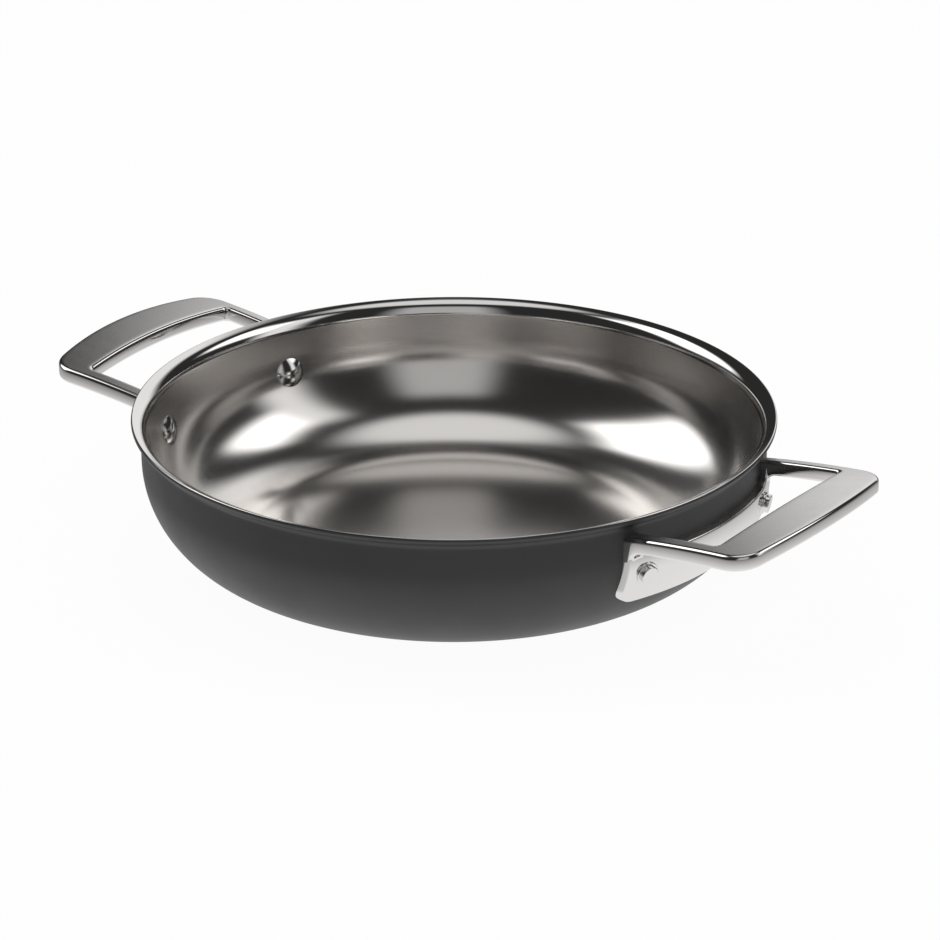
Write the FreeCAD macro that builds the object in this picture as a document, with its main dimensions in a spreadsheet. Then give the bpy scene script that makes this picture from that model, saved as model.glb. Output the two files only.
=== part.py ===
import FreeCAD, Part
import math
import os
import Sketcher

# A round, low braiser of bonded metal with two loop handles.
# Millimetres, +Z up. The origin is the middle of the flat base, and the handles stand out along +X and -X.

os.makedirs("parts", exist_ok=True)
doc = FreeCAD.newDocument("braiser")
Vector = FreeCAD.Vector

# ---------------------------------------------------------------- driving dimensions
SIZES = [
    # the bowl: "drop" means a depth below the top of the rim
    ("wall_radius", 148.0, "outside of the upright wall"),
    ("lip_flare", 4.4, "how far the lip's edge stands out from the wall"),
    ("bowl_height", 70.0, "base to top of the rim"),
    ("knuckle_radius", 50.0, "outside round between wall and base"),
    ("lip_angle", 70.0, "degrees that the flare turns outwards"),
    ("liner_thick", 0.5, "stainless cooking surface"),
    ("core_thick", 1.8, "aluminium that spreads the heat"),
    ("skin_thick", 0.5, "hard-anodised outer ply"),
    # the handle loop
    ("arm_spread", 58.5, "middle plane to the outer side of an arm, where it meets the wall"),
    ("arm_splay", 1.7, "degrees that each arm leans away from the middle plane"),
    ("arm_width", 7.8, "width of an arm"),
    ("arm_drop", 8.8, "top of an arm where it meets the wall"),
    ("arm_slope", 8.1, "degrees that the arms climb at the wall"),
    ("grip_slope", 2.1, "degrees that the grip still climbs at its outer edge"),
    ("grip_thick", 7.5, "thickness of grip and arms"),
    ("arch_rise", 3.5, "rise of the grip's middle over its ends"),
    ("grip_reach", 59.8, "wall to the outer edge of the grip, in the middle"),
    ("grip_width", 24.4, "width of the grip in the middle"),
    ("outer_bow", 7.5, "bow of the grip's outer edge"),
    ("inner_bow", 2.3, "bow of the grip's inner edge"),
    ("outer_corner", 14.0, "plan radius of the loop's outer corners"),
    ("inner_corner", 2.4, "plan radius of the window's corners"),
    ("top_round", 2.0, "round of the loop's upper edges"),
    ("under_round", 1.5, "round of the loop's lower edges"),
    # the flange that the loop is cast with
    ("flange_thick", 3.6, "thickness of the flange"),
    ("notch_drop", 20.0, "flange's top edge between the arms"),
    ("foot_drop", 44.0, "flange's bottom edge"),
    ("foot_corner", 7.0, "round of the bottom corners"),
    ("flange_round", 0.9, "round of the flange's outer edges"),
    ("seat_gap", 0.05, "clearance between flange and wall"),
    # the rivets and their washers
    ("rivet_angle", 19.0, "degrees round the bowl from the handle's middle plane"),
    ("rivet_drop", 28.0, "rivet centre on the cooking surface"),
    ("shank_dia", 6.4, "rivet shank"),
    ("shank_gap", 0.05, "radial clearance of the shank in its holes"),
    ("head_dia", 14.5, "domed head inside the bowl"),
    ("head_edge", 0.9, "straight edge of the head"),
    ("head_rise", 2.0, "rise of the dome over that edge"),
    ("tail_dia", 8.8, "flat tail outside the handle"),
    ("tail_length", 2.2, "length of the tail beyond its washer"),
    ("tail_round", 0.4, "round of the tail's rim"),
    ("washer_dia", 11.0, "washer under the tail"),
    ("washer_thick", 1.1, "thickness of the washer"),
    ("washer_round", 0.3, "round of the washer's rim"),
]

sheet = doc.addObject("Spreadsheet::Sheet", "Sizes")
for row, (alias, number, meaning) in enumerate(SIZES, start=1):
    sheet.set("A%d" % row, alias)
    sheet.set("B%d" % row, str(number))
    sheet.set("C%d" % row, meaning)
    sheet.setAlias("B%d" % row, alias)
doc.recompute()


def size(alias):
    """The number in a named cell of the sheet."""
    return float(getattr(sheet, alias))


# Working stock that is cut away again, and margins that no fit depends on.
SPOT_MARGIN = 0.2
SPOT_DEPTH = 0.1
HEAD_STOCK = 1.5
LOOP_STOCK = 16.0
SHELL_SWEEP = 60.0
SHELL_HALF_TURN = 34.0
END_MARGIN = 0.2
FACE_TOLERANCE = 0.02
SIDE_FACING = 0.98
OUTSIDE = 200.0

# Lengths that follow from the sheet, each as an expression for sketches and as a number for placing pieces.
WALL_THICK = "(Sizes.liner_thick + Sizes.core_thick + Sizes.skin_thick)"
UNDER_LINER = "(Sizes.core_thick + Sizes.skin_thick)"
FLOOR_RADIUS = "(Sizes.wall_radius - Sizes.knuckle_radius)"
FLARE_RADIUS = "(Sizes.lip_flare / (1 - cos(Sizes.lip_angle)) - %s)" % UNDER_LINER
FLARE_HEIGHT = (
    "(Sizes.bowl_height - Sizes.liner_thick - (%s + %s) * sin(Sizes.lip_angle)"
    " - (%s - Sizes.liner_thick) * cos(Sizes.lip_angle))"
    % (FLARE_RADIUS, UNDER_LINER, UNDER_LINER)
)
CLIMB_RADIUS = "(Sizes.grip_reach / (sin(Sizes.arm_slope) - sin(Sizes.grip_slope)))"
CLIMB_CENTRE = (
    "Sizes.wall_radius + %s * sin(Sizes.arm_slope)" % CLIMB_RADIUS,
    "Sizes.bowl_height - Sizes.arm_drop - %s * cos(Sizes.arm_slope)" % CLIMB_RADIUS,
)
ROOT_HEIGHT = "(%s + sqrt(%s ^ 2 - (%s - Sizes.wall_radius + %s) ^ 2))" % (
    CLIMB_CENTRE[1], CLIMB_RADIUS, CLIMB_CENTRE[0], LOOP_STOCK
)
FLANGE_BACK = "Sizes.seat_gap"
NOTCH_HEIGHT = "(Sizes.bowl_height - Sizes.notch_drop)"
# where the outer side of an arm meets the wall
ARM_START = "sqrt(Sizes.wall_radius ^ 2 - Sizes.arm_spread ^ 2)"
# the flange's raised ends stop inside the arms, just below the arms' upper rounds
FLANGE_TOP = (
    "(Sizes.bowl_height - Sizes.arm_drop - Sizes.top_round - %s"
    " - (Sizes.wall_radius - %s) * tan(Sizes.arm_slope))"
    % (END_MARGIN, ARM_START)
)
FLANGE_FACE = "(Sizes.seat_gap + Sizes.flange_thick)"
SHANK_HOLE = "Sizes.shank_dia / 2 + Sizes.shank_gap"

wall_thick = size("liner_thick") + size("core_thick") + size("skin_thick")
under_liner = size("core_thick") + size("skin_thick")
floor_radius = size("wall_radius") - size("knuckle_radius")
lip_turn = math.radians(size("lip_angle"))
flare_radius = size("lip_flare") / (1 - math.cos(lip_turn)) - under_liner
flare_height = (
    size("bowl_height") - size("liner_thick") - (flare_radius + under_liner) * math.sin(lip_turn)
    - (under_liner - size("liner_thick")) * math.cos(lip_turn)
)
arm_start = math.sqrt(size("wall_radius") ** 2 - size("arm_spread") ** 2)
flange_top = (
    size("bowl_height") - size("arm_drop") - size("top_round") - END_MARGIN
    - (size("wall_radius") - arm_start) * math.tan(math.radians(size("arm_slope")))
)


# ---------------------------------------------------------------- sketch and feature helpers
START, END, CENTRE = range(1, 4)
ORIGIN = (-1, 1)
X_AXIS, Y_AXIS = range(-1, -3, -1)


def new_body(name):
    body = doc.addObject("PartDesign::Body", name)
    body.Label = name
    return body


def new_sketch(body, name, role):
    """A sketch on one of the body's own origin planes."""
    sketch = body.newObject("Sketcher::SketchObject", name)
    plane = [item for item in body.Origin.OriginFeatures if item.Role == role][0]
    sketch.AttachmentSupport = [(plane, "")]
    sketch.MapMode = "FlatFace"
    return sketch


def line(start, end):
    return Part.LineSegment(Vector(*start, 0), Vector(*end, 0)), START, END


def arc(centre, radius, first, last):
    """An arc walked from one angle to another, in degrees, either way round."""
    circle = Part.Circle(Vector(*centre, 0), Vector(0, 0, 1), radius)
    low, high = math.radians(min(first, last)), math.radians(max(first, last))
    ends = (START, END) if first < last else (END, START)
    return (Part.ArcOfCircle(circle, low, high),) + ends


def polar(centre, radius, degrees):
    """The point at a radius and an angle from a centre."""
    turn = math.radians(degrees)
    return centre[0] + radius * math.cos(turn), centre[1] + radius * math.sin(turn)


def add_loop(sketch, pieces, smooth, closed=True):
    """Adds lines and arcs end to end. The joints numbered in smooth are tangent, the rest just meet."""
    first = sketch.GeometryCount
    for geometry, _, _ in pieces:
        sketch.addGeometry(geometry, False)
    for index, (_, _, out) in enumerate(pieces):
        if index == len(pieces) - 1 and not closed:
            break
        after = (index + 1) % len(pieces)
        kind = "Tangent" if index in smooth else "Coincident"
        ends = (first + index, out, first + after, pieces[after][1])
        sketch.addConstraint(Sketcher.Constraint(kind, *ends))
    return first


def fix(sketch, kind, parts, number, name, expression):
    """A named dimension that follows an expression."""
    index = sketch.addConstraint(Sketcher.Constraint(kind, *parts, number))
    sketch.renameConstraint(index, name)
    sketch.setExpression("Constraints." + name, expression)


def rule(sketch, kind, *parts):
    sketch.addConstraint(Sketcher.Constraint(kind, *parts))


def revolve(body, sketch, name, degrees=360.0, both_ways=False):
    """Turns a sketch of the XZ plane about the Z axis."""
    feature = body.newObject("PartDesign::Revolution", name)
    feature.Profile = sketch
    feature.ReferenceAxis = (sketch, ["V_Axis"])
    feature.Midplane = both_ways
    feature.Angle = degrees
    body.Tip = feature
    return feature


def cut_tool(name, base, tool):
    feature = doc.addObject("Part::Cut", name)
    feature.Base = base
    feature.Tool = tool
    feature.Label = name
    return feature


def all_of(name, kind, pieces):
    feature = doc.addObject(kind, name)
    feature.Shapes = pieces
    feature.Label = name
    return feature


# ---------------------------------------------------------------- the section of the bowl
# Every ply follows the same outline at its own depth from the outside: flat floor, quarter-round knuckle,
# upright wall, and a flare that turns outwards by lip_angle. The rounds of all the plies share their centres.
KNUCKLE = (floor_radius, size("knuckle_radius"))
FLARE = (size("wall_radius") + flare_radius, flare_height)
LIP_TURN = 180.0 - size("lip_angle")


def outward_run(depth):
    """The outline at one depth, walked from the axis along the floor and up to the end of the flare."""
    knuckle = size("knuckle_radius") - depth
    wall = size("wall_radius") - depth
    return [
        line((0.0, depth), (floor_radius, depth)),
        arc(KNUCKLE, knuckle, -90.0, 0.0),
        line((wall, KNUCKLE[1]), (wall, FLARE[1])),
        arc(FLARE, flare_radius + depth, 180.0, LIP_TURN),
    ]


def inward_run(depth):
    """The same outline walked back from the flare to the axis."""
    knuckle = size("knuckle_radius") - depth
    wall = size("wall_radius") - depth
    return [
        arc(FLARE, flare_radius + depth, LIP_TURN, 180.0),
        line((wall, FLARE[1]), (wall, KNUCKLE[1])),
        arc(KNUCKLE, knuckle, 0.0, -90.0),
        line((floor_radius, depth), (0.0, depth)),
    ]


def hold_run(sketch, floor, knuckle, wall, flare, name, depth, depth_text):
    """Names the sizes of one run of the outline, given the numbers of its four pieces."""
    rule(sketch, "Horizontal", floor)
    rule(sketch, "Vertical", wall)
    knuckle_text = "Sizes.knuckle_radius - %s" % depth_text
    flare_text = "%s + %s" % (FLARE_RADIUS, depth_text)
    fix(sketch, "Radius", (knuckle,), KNUCKLE[1] - depth, name + "_knuckle", knuckle_text)
    fix(sketch, "Radius", (flare,), flare_radius + depth, name + "_flare", flare_text)
    fix(sketch, "DistanceX", ORIGIN + (knuckle, CENTRE), floor_radius, name + "_floor", FLOOR_RADIUS)
    fix(sketch, "DistanceY", ORIGIN + (knuckle, CENTRE), KNUCKLE[1], name + "_turn", "Sizes.knuckle_radius")
    fix(sketch, "DistanceY", ORIGIN + (flare, CENTRE), FLARE[1], name + "_lip", FLARE_HEIGHT)


def ply_body(name, outside, inside, lip, smooth_lip, outside_text, inside_text):
    """One bonded ply: the outline at two depths, joined at the lip by the pieces given."""
    body = new_body(name + "_sheet")
    sketch = new_sketch(body, name + "_section", "XZ_Plane")
    out_run = outward_run(outside)
    back_run = inward_run(inside)
    middle = line((0.0, inside), (0.0, outside))
    pieces = out_run + lip + back_run + [middle]
    back = len(out_run) + len(lip)
    smooth = {0, 1, 2, back, back + 1, back + 2} | {len(out_run) - 1 + index for index in smooth_lip}
    add_loop(sketch, pieces, smooth)
    hold_run(sketch, 0, 1, 2, 3, "outside", outside, outside_text)
    hold_run(sketch, back + 3, back + 2, back + 1, back, "inside", inside, inside_text)
    rule(sketch, "PointOnObject", 0, START, Y_AXIS)
    rule(sketch, "PointOnObject", back + 3, END, Y_AXIS)
    return body, sketch, back


lip_along = (math.sin(lip_turn), math.cos(lip_turn))
lip_up = (-math.cos(lip_turn), math.sin(lip_turn))
ALONG_ANGLE = 90.0 - size("lip_angle")


def on_lip(depth, along):
    """A point of the lip: at a depth of the wall, and a distance past the end of the flare."""
    radius = flare_radius + depth
    return (
        FLARE[0] + radius * lip_up[0] + along * lip_along[0],
        FLARE[1] + radius * lip_up[1] + along * lip_along[1],
    )


def hold_flare_end(sketch, piece, end, depth, name, depth_text):
    """Ends a flare's round at lip_angle, by the height of its end."""
    height = "%s + (%s + %s) * sin(Sizes.lip_angle)" % (FLARE_HEIGHT, FLARE_RADIUS, depth_text)
    fix(sketch, "DistanceY", ORIGIN + (piece, end), on_lip(depth, 0.0)[1], name, height)


def core_sheet():
    """The aluminium core ends square at the end of the flare."""
    skin = size("skin_thick")
    lip = [line(on_lip(skin, 0.0), on_lip(under_liner, 0.0))]
    body, sketch, back = ply_body(
        "aluminium_core", skin, under_liner, lip, set(), "Sizes.skin_thick", UNDER_LINER
    )
    hold_flare_end(sketch, 3, START, skin, "outside_end", "Sizes.skin_thick")
    hold_flare_end(sketch, back, START, under_liner, "inside_end", UNDER_LINER)
    return body, sketch


def skin_sheet():
    """The anodised skin wraps the core's edge in a quarter round, up to the liner."""
    skin = size("skin_thick")
    lip = [
        arc(on_lip(under_liner, 0.0), under_liner, -size("lip_angle"), ALONG_ANGLE),
        line(on_lip(under_liner, under_liner), on_lip(under_liner, 0.0)),
        line(on_lip(under_liner, 0.0), on_lip(skin, 0.0)),
    ]
    body, sketch, back = ply_body("outer_skin", 0.0, skin, lip, {0}, "0", "Sizes.skin_thick")
    hold_flare_end(sketch, 3, START, 0.0, "outside_end", "0")
    hold_flare_end(sketch, back, START, skin, "inside_end", "Sizes.skin_thick")
    fix(sketch, "Radius", (4,), under_liner, "edge_round", UNDER_LINER)
    rule(sketch, "Coincident", 4, CENTRE, 5, END)
    rule(sketch, "Perpendicular", 5, 6)
    return body, sketch


def liner_sheet():
    """The stainless liner runs on over the wrapped edge and ends in a small round."""
    liner = size("liner_thick")
    shoulder = under_liner - liner
    lip = [
        line(on_lip(under_liner, 0.0), on_lip(under_liner, under_liner)),
        arc(on_lip(under_liner, shoulder), liner, ALONG_ANGLE, ALONG_ANGLE + 90.0),
        line(on_lip(wall_thick, shoulder), on_lip(wall_thick, 0.0)),
    ]
    body, sketch, back = ply_body(
        "inner_liner", under_liner, wall_thick, lip, {0, 2, 3}, UNDER_LINER, WALL_THICK
    )
    hold_flare_end(sketch, 3, START, under_liner, "outside_end", UNDER_LINER)
    fix(sketch, "Distance", (4,), under_liner, "lip_length", UNDER_LINER)
    fix(sketch, "Radius", (5,), liner, "lip_round", "Sizes.liner_thick")
    rule(sketch, "PointOnObject", 5, CENTRE, 4)
    return body, sketch


def filled_form(name, depth, depth_text):
    """The bowl as a solid block, bounded by its outline at one depth. It trims what fits against the wall."""
    body = new_body(name)
    sketch = new_sketch(body, name + "_section", "XZ_Plane")
    top = size("bowl_height")
    rim = on_lip(depth, 0.0)
    pieces = outward_run(depth) + [
        line(rim, (rim[0], top)),
        line((rim[0], top), (0.0, top)),
        line((0.0, top), (0.0, depth)),
    ]
    add_loop(sketch, pieces, {0, 1, 2})
    hold_run(sketch, 0, 1, 2, 3, "form", depth, depth_text)
    hold_flare_end(sketch, 3, START, depth, "form_end", depth_text)
    rule(sketch, "Vertical", 4)
    rule(sketch, "Horizontal", 5)
    rule(sketch, "PointOnObject", 5, END, Y_AXIS)
    rule(sketch, "PointOnObject", 0, START, Y_AXIS)
    fix(sketch, "DistanceY", ORIGIN + (5, START), top, "form_top", "Sizes.bowl_height")
    revolve(body, sketch, name + "_turned")
    return body


# ---------------------------------------------------------------- where the rivets sit
SIDES = {"right": 0.0, "left": 180.0}
ENDS = {"front": -1.0, "rear": 1.0}
rivet_height = size("bowl_height") - size("rivet_drop")
below_wall = max(0.0, size("knuckle_radius") - rivet_height)
rivet_tilt = math.asin(below_wall / (size("knuckle_radius") - wall_thick))
rivet_radius = floor_radius + (size("knuckle_radius") - wall_thick) * math.cos(rivet_tilt)
spot_sag = size("knuckle_radius") + size("seat_gap") + size("flange_thick")
spot_sag = spot_sag - math.sqrt(spot_sag ** 2 - (size("washer_dia") / 2 + SPOT_MARGIN) ** 2)
flange_face_at = wall_thick + size("seat_gap") + size("flange_thick")
washer_seat_at = flange_face_at - spot_sag - SPOT_DEPTH
tail_seat_at = washer_seat_at + size("washer_thick")


def rivet_place(side, end, along=0.0):
    """Square to the wall at one rivet, with the local Z axis outwards, a distance along that axis."""
    turn = math.radians(SIDES[side] + ENDS[end] * size("rivet_angle") * math.cos(math.radians(SIDES[side])))
    out = Vector(
        math.cos(rivet_tilt) * math.cos(turn),
        math.cos(rivet_tilt) * math.sin(turn),
        -math.sin(rivet_tilt),
    )
    foot = Vector(rivet_radius * math.cos(turn), rivet_radius * math.sin(turn), rivet_height)
    return FreeCAD.Placement(foot + out * along, FreeCAD.Rotation(Vector(0, 0, 1), out))


def drilled(name, side, end, start, length, radius_text):
    """A cylinder on a rivet's axis, to cut with."""
    tool = doc.addObject("Part::Cylinder", name)
    tool.Height = length
    tool.setExpression("Radius", radius_text)
    tool.Placement = rivet_place(side, end, start)
    return tool


def rivet_holes(name, sides, start, length, radius_text):
    tools = []
    for side in sides:
        for end in ENDS:
            tools.append(drilled("%s_%s_%s" % (name, side, end), side, end, start, length, radius_text))
    return all_of(name, "Part::MultiFuse", tools)


# ---------------------------------------------------------------- rivets and washers
def make_rivet(side, end, cavity):
    """A dome inside, a shank through wall and flange, and a flat tail outside, on the wall's own normal."""
    name = "rivet_%s_%s" % (side, end)
    place = rivet_place(side, end)
    head = size("head_dia") / 2
    edge = size("head_edge")
    rise = size("head_rise")
    shank = size("shank_dia") / 2
    tail = size("tail_dia") / 2
    top = tail_seat_at + size("tail_length")
    rim = size("tail_round")

    dome = new_body(name + "_head")
    sketch = new_sketch(dome, name + "_head_section", "XZ_Plane")
    ball = (head ** 2 + rise ** 2) / (2 * rise)
    centre = (0.0, ball - edge - rise)
    reach = math.degrees(math.asin(head / ball))
    pieces = [
        arc(centre, ball, -90.0, -90.0 + reach),
        line((head, -edge), (head, HEAD_STOCK)),
        line((head, HEAD_STOCK), (0.0, HEAD_STOCK)),
        line((0.0, HEAD_STOCK), (0.0, -edge - rise)),
    ]
    add_loop(sketch, pieces, set())
    rule(sketch, "Vertical", 1)
    rule(sketch, "Horizontal", 2)
    rule(sketch, "PointOnObject", 0, CENTRE, Y_AXIS)
    rule(sketch, "PointOnObject", 0, START, Y_AXIS)
    rule(sketch, "PointOnObject", 2, END, Y_AXIS)
    fix(sketch, "DistanceX", ORIGIN + (1, START), head, "head", "Sizes.head_dia / 2")
    fix(sketch, "DistanceY", ORIGIN + (1, START), -edge, "edge", "-Sizes.head_edge")
    fix(sketch, "DistanceY", ORIGIN + (0, START), -edge - rise, "rise", "-Sizes.head_edge - Sizes.head_rise")
    sketch.addConstraint(Sketcher.Constraint("DistanceY", *ORIGIN, 1, END, HEAD_STOCK))
    revolve(dome, sketch, name + "_head_turned")
    dome.Placement = place
    seated = doc.addObject("Part::Common", name + "_head_seated")
    seated.Base = dome
    seated.Tool = cavity

    pin = new_body(name + "_shank")
    sketch = new_sketch(pin, name + "_shank_section", "XZ_Plane")
    pieces = [
        line((0.0, -edge), (shank, -edge)),
        line((shank, -edge), (shank, tail_seat_at)),
        line((shank, tail_seat_at), (tail, tail_seat_at)),
        line((tail, tail_seat_at), (tail, top - rim)),
        arc((tail - rim, top - rim), rim, 0.0, 90.0),
        line((tail - rim, top), (0.0, top)),
        line((0.0, top), (0.0, -edge)),
    ]
    add_loop(sketch, pieces, {3, 4})
    for index in (0, 2, 5):
        rule(sketch, "Horizontal", index)
    for index in (1, 3):
        rule(sketch, "Vertical", index)
    rule(sketch, "PointOnObject", 0, START, Y_AXIS)
    rule(sketch, "PointOnObject", 5, END, Y_AXIS)
    fix(sketch, "DistanceX", ORIGIN + (1, START), shank, "shank", "Sizes.shank_dia / 2")
    fix(sketch, "DistanceX", ORIGIN + (2, END), tail, "tail", "Sizes.tail_dia / 2")
    fix(sketch, "Radius", (4,), rim, "tail_round", "Sizes.tail_round")
    fix(sketch, "DistanceY", ORIGIN + (0, END), -edge, "shank_start", "-Sizes.head_edge")
    sketch.addConstraint(Sketcher.Constraint("DistanceY", *ORIGIN, 2, END, tail_seat_at))
    fix(sketch, "DistanceY", (2, END, 5, END), size("tail_length"), "tail_length", "Sizes.tail_length")
    revolve(pin, sketch, name + "_shank_turned")
    pin.Placement = place

    rivet = doc.addObject("Part::Fuse", name)
    rivet.Base = seated
    rivet.Tool = pin
    rivet.Refine = True
    rivet.Label = name
    return rivet


def make_washer(side, end):
    """A flat ring with a rounded rim, seated on the flange's spot face under the tail."""
    name = "washer_%s_%s" % (side, end)
    body = new_body(name)
    sketch = new_sketch(body, name + "_section", "XZ_Plane")
    inner = size("shank_dia") / 2 + size("shank_gap")
    outer = size("washer_dia") / 2
    thick = size("washer_thick")
    rim = size("washer_round")
    pieces = [
        line((inner, 0.0), (outer, 0.0)),
        line((outer, 0.0), (outer, thick - rim)),
        arc((outer - rim, thick - rim), rim, 0.0, 90.0),
        line((outer - rim, thick), (inner, thick)),
        line((inner, thick), (inner, 0.0)),
    ]
    add_loop(sketch, pieces, {1, 2})
    for index in (1, 4):
        rule(sketch, "Vertical", index)
    rule(sketch, "Horizontal", 3)
    rule(sketch, "PointOnObject", 0, START, X_AXIS)
    rule(sketch, "PointOnObject", 0, END, X_AXIS)
    fix(sketch, "DistanceX", ORIGIN + (0, START), inner, "bore", "Sizes.shank_dia / 2 + Sizes.shank_gap")
    fix(sketch, "DistanceX", ORIGIN + (0, END), outer, "rim", "Sizes.washer_dia / 2")
    fix(sketch, "DistanceY", ORIGIN + (3, END), thick, "thickness", "Sizes.washer_thick")
    fix(sketch, "Radius", (2,), rim, "rim_round", "Sizes.washer_round")
    revolve(body, sketch, name + "_turned")
    body.Placement = rivet_place(side, end, washer_seat_at)
    return body


# ---------------------------------------------------------------- the handle
def bow_radius(half_chord, sagitta):
    return (half_chord ** 2 + sagitta ** 2) / (2 * sagitta)


def climb_radius():
    """The easing climb is one arc, from arm_slope at the wall to grip_slope at the grip's outer edge."""
    steep = math.sin(math.radians(size("arm_slope")))
    flat = math.sin(math.radians(size("grip_slope")))
    return size("grip_reach") / (steep - flat)


def flange_blank():
    """A sector of shell that follows the wall, trimmed to the flange's front outline."""
    body = new_body("flange_blank")
    shell = new_sketch(body, "flange_shell", "XZ_Plane")
    back = size("seat_gap")
    face = back + size("flange_thick")
    wall = size("wall_radius")
    knuckle = size("knuckle_radius")
    top = size("bowl_height")
    foot = -SHELL_SWEEP
    pieces = [
        line((wall + back, top), (wall + back, KNUCKLE[1])),
        arc(KNUCKLE, knuckle + back, 0.0, foot),
        line(polar(KNUCKLE, knuckle + back, foot), polar(KNUCKLE, knuckle + face, foot)),
        arc(KNUCKLE, knuckle + face, foot, 0.0),
        line((wall + face, KNUCKLE[1]), (wall + face, top)),
        line((wall + face, top), (wall + back, top)),
    ]
    add_loop(shell, pieces, {0, 3})
    rule(shell, "Vertical", 0)
    rule(shell, "Vertical", 4)
    rule(shell, "Horizontal", 5)
    rule(shell, "Coincident", 1, CENTRE, 3, CENTRE)
    rule(shell, "PointOnObject", 1, CENTRE, 2)
    fix(shell, "DistanceX", ORIGIN + (1, CENTRE), floor_radius, "centre_out", FLOOR_RADIUS)
    fix(shell, "DistanceY", ORIGIN + (1, CENTRE), knuckle, "centre_up", "Sizes.knuckle_radius")
    fix(shell, "Radius", (1,), knuckle + back, "back", "Sizes.knuckle_radius + " + FLANGE_BACK)
    fix(shell, "Radius", (3,), knuckle + face, "face", "Sizes.knuckle_radius + " + FLANGE_FACE)
    fix(shell, "DistanceY", ORIGIN + (5, END), top, "top", "Sizes.bowl_height")
    low = polar(KNUCKLE, knuckle + back, foot)[1]
    shell.addConstraint(Sketcher.Constraint("DistanceY", *ORIGIN, 1, START, low))
    revolve(body, shell, "flange_shell_turned", 2 * SHELL_HALF_TURN, True)

    outline = new_sketch(body, "flange_outline", "YZ_Plane")
    add_flange_outline(outline)
    trim = body.newObject("PartDesign::Pocket", "flange_trim")
    trim.Profile = outline
    trim.Type = "ThroughAll"
    trim.Reversed = True
    body.Tip = trim
    doc.recompute()
    outline_edges = edges_between(trim.Shape, "front", "side", below=flange_top - FACE_TOLERANCE)
    round_edges(body, trim, "flange_edge_round", outline_edges, "flange_round")
    return body


def add_flange_outline(sketch):
    """A frame whose hole is the flange seen along X.

    Its ends stand up flush with the arms and sweep into the notch between them in a hollow round. The sides
    run straight down to rounded bottom corners.
    """
    spread = size("arm_spread")
    inner = spread - size("arm_width")
    notch = size("bowl_height") - size("notch_drop")
    foot = size("bowl_height") - size("foot_drop")
    corner = size("foot_corner")
    centre = (spread - corner, foot + corner)
    hollow = flange_top - notch
    hollow_centre = (inner - hollow, flange_top)

    def flip(point):
        return -point[0], point[1]

    pieces = [
        arc(centre, corner, -90.0, 0.0),
        line((spread, centre[1]), (spread, flange_top)),
        line((spread, flange_top), (inner, flange_top)),
        arc(hollow_centre, hollow, 0.0, -90.0),
        line((hollow_centre[0], notch), (-hollow_centre[0], notch)),
        arc(flip(hollow_centre), hollow, 270.0, 180.0),
        line((-inner, flange_top), (-spread, flange_top)),
        line((-spread, flange_top), (-spread, centre[1])),
        arc(flip(centre), corner, 180.0, 270.0),
        line((-centre[0], foot), (centre[0], foot)),
    ]
    add_loop(sketch, pieces, {0, 3, 4, 7, 8, 9})
    rule(sketch, "Horizontal", 2)
    rule(sketch, "Horizontal", 4)
    rule(sketch, "Vertical", 1)
    rule(sketch, "Equal", 0, 8)
    rule(sketch, "Equal", 3, 5)
    for right, left in (((9, START), (9, END)), ((2, START), (6, END)), ((2, END), (6, START))):
        rule(sketch, "Symmetric", *right, *left, Y_AXIS)
    fix(sketch, "DistanceY", ORIGIN + (9, START), foot, "foot", "Sizes.bowl_height - Sizes.foot_drop")
    fix(sketch, "DistanceY", ORIGIN + (4, START), notch, "notch", NOTCH_HEIGHT)
    fix(sketch, "DistanceY", ORIGIN + (2, START), flange_top, "top", FLANGE_TOP)
    fix(sketch, "DistanceX", ORIGIN + (2, START), spread, "spread", "Sizes.arm_spread")
    fix(sketch, "DistanceX", ORIGIN + (2, END), inner, "inner", "Sizes.arm_spread - Sizes.arm_width")
    fix(sketch, "Radius", (0,), corner, "corner", "Sizes.foot_corner")
    fix(sketch, "Radius", (3,), hollow, "hollow", "%s - %s" % (FLANGE_TOP, NOTCH_HEIGHT))
    add_frame(sketch, -OUTSIDE, -OUTSIDE, OUTSIDE, OUTSIDE)


def add_frame(sketch, left, low, right, high):
    """A rectangle fixed well outside the piece, so that a cut takes away all but the outline inside it."""
    corners = [(left, low), (right, low), (right, high), (left, high)]
    pieces = [line(corners[index], corners[(index + 1) % 4]) for index in range(4)]
    first = add_loop(sketch, pieces, set())
    for index in (0, 2):
        rule(sketch, "Horizontal", first + index)
    for index in (1, 3):
        rule(sketch, "Vertical", first + index)
    for kind, at, number in (
        ("DistanceX", START, left), ("DistanceY", START, low), ("DistanceX", END, right)
    ):
        sketch.addConstraint(Sketcher.Constraint(kind, *ORIGIN, first, at, number))
    sketch.addConstraint(Sketcher.Constraint("DistanceY", *ORIGIN, first + 2, START, high))


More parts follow.
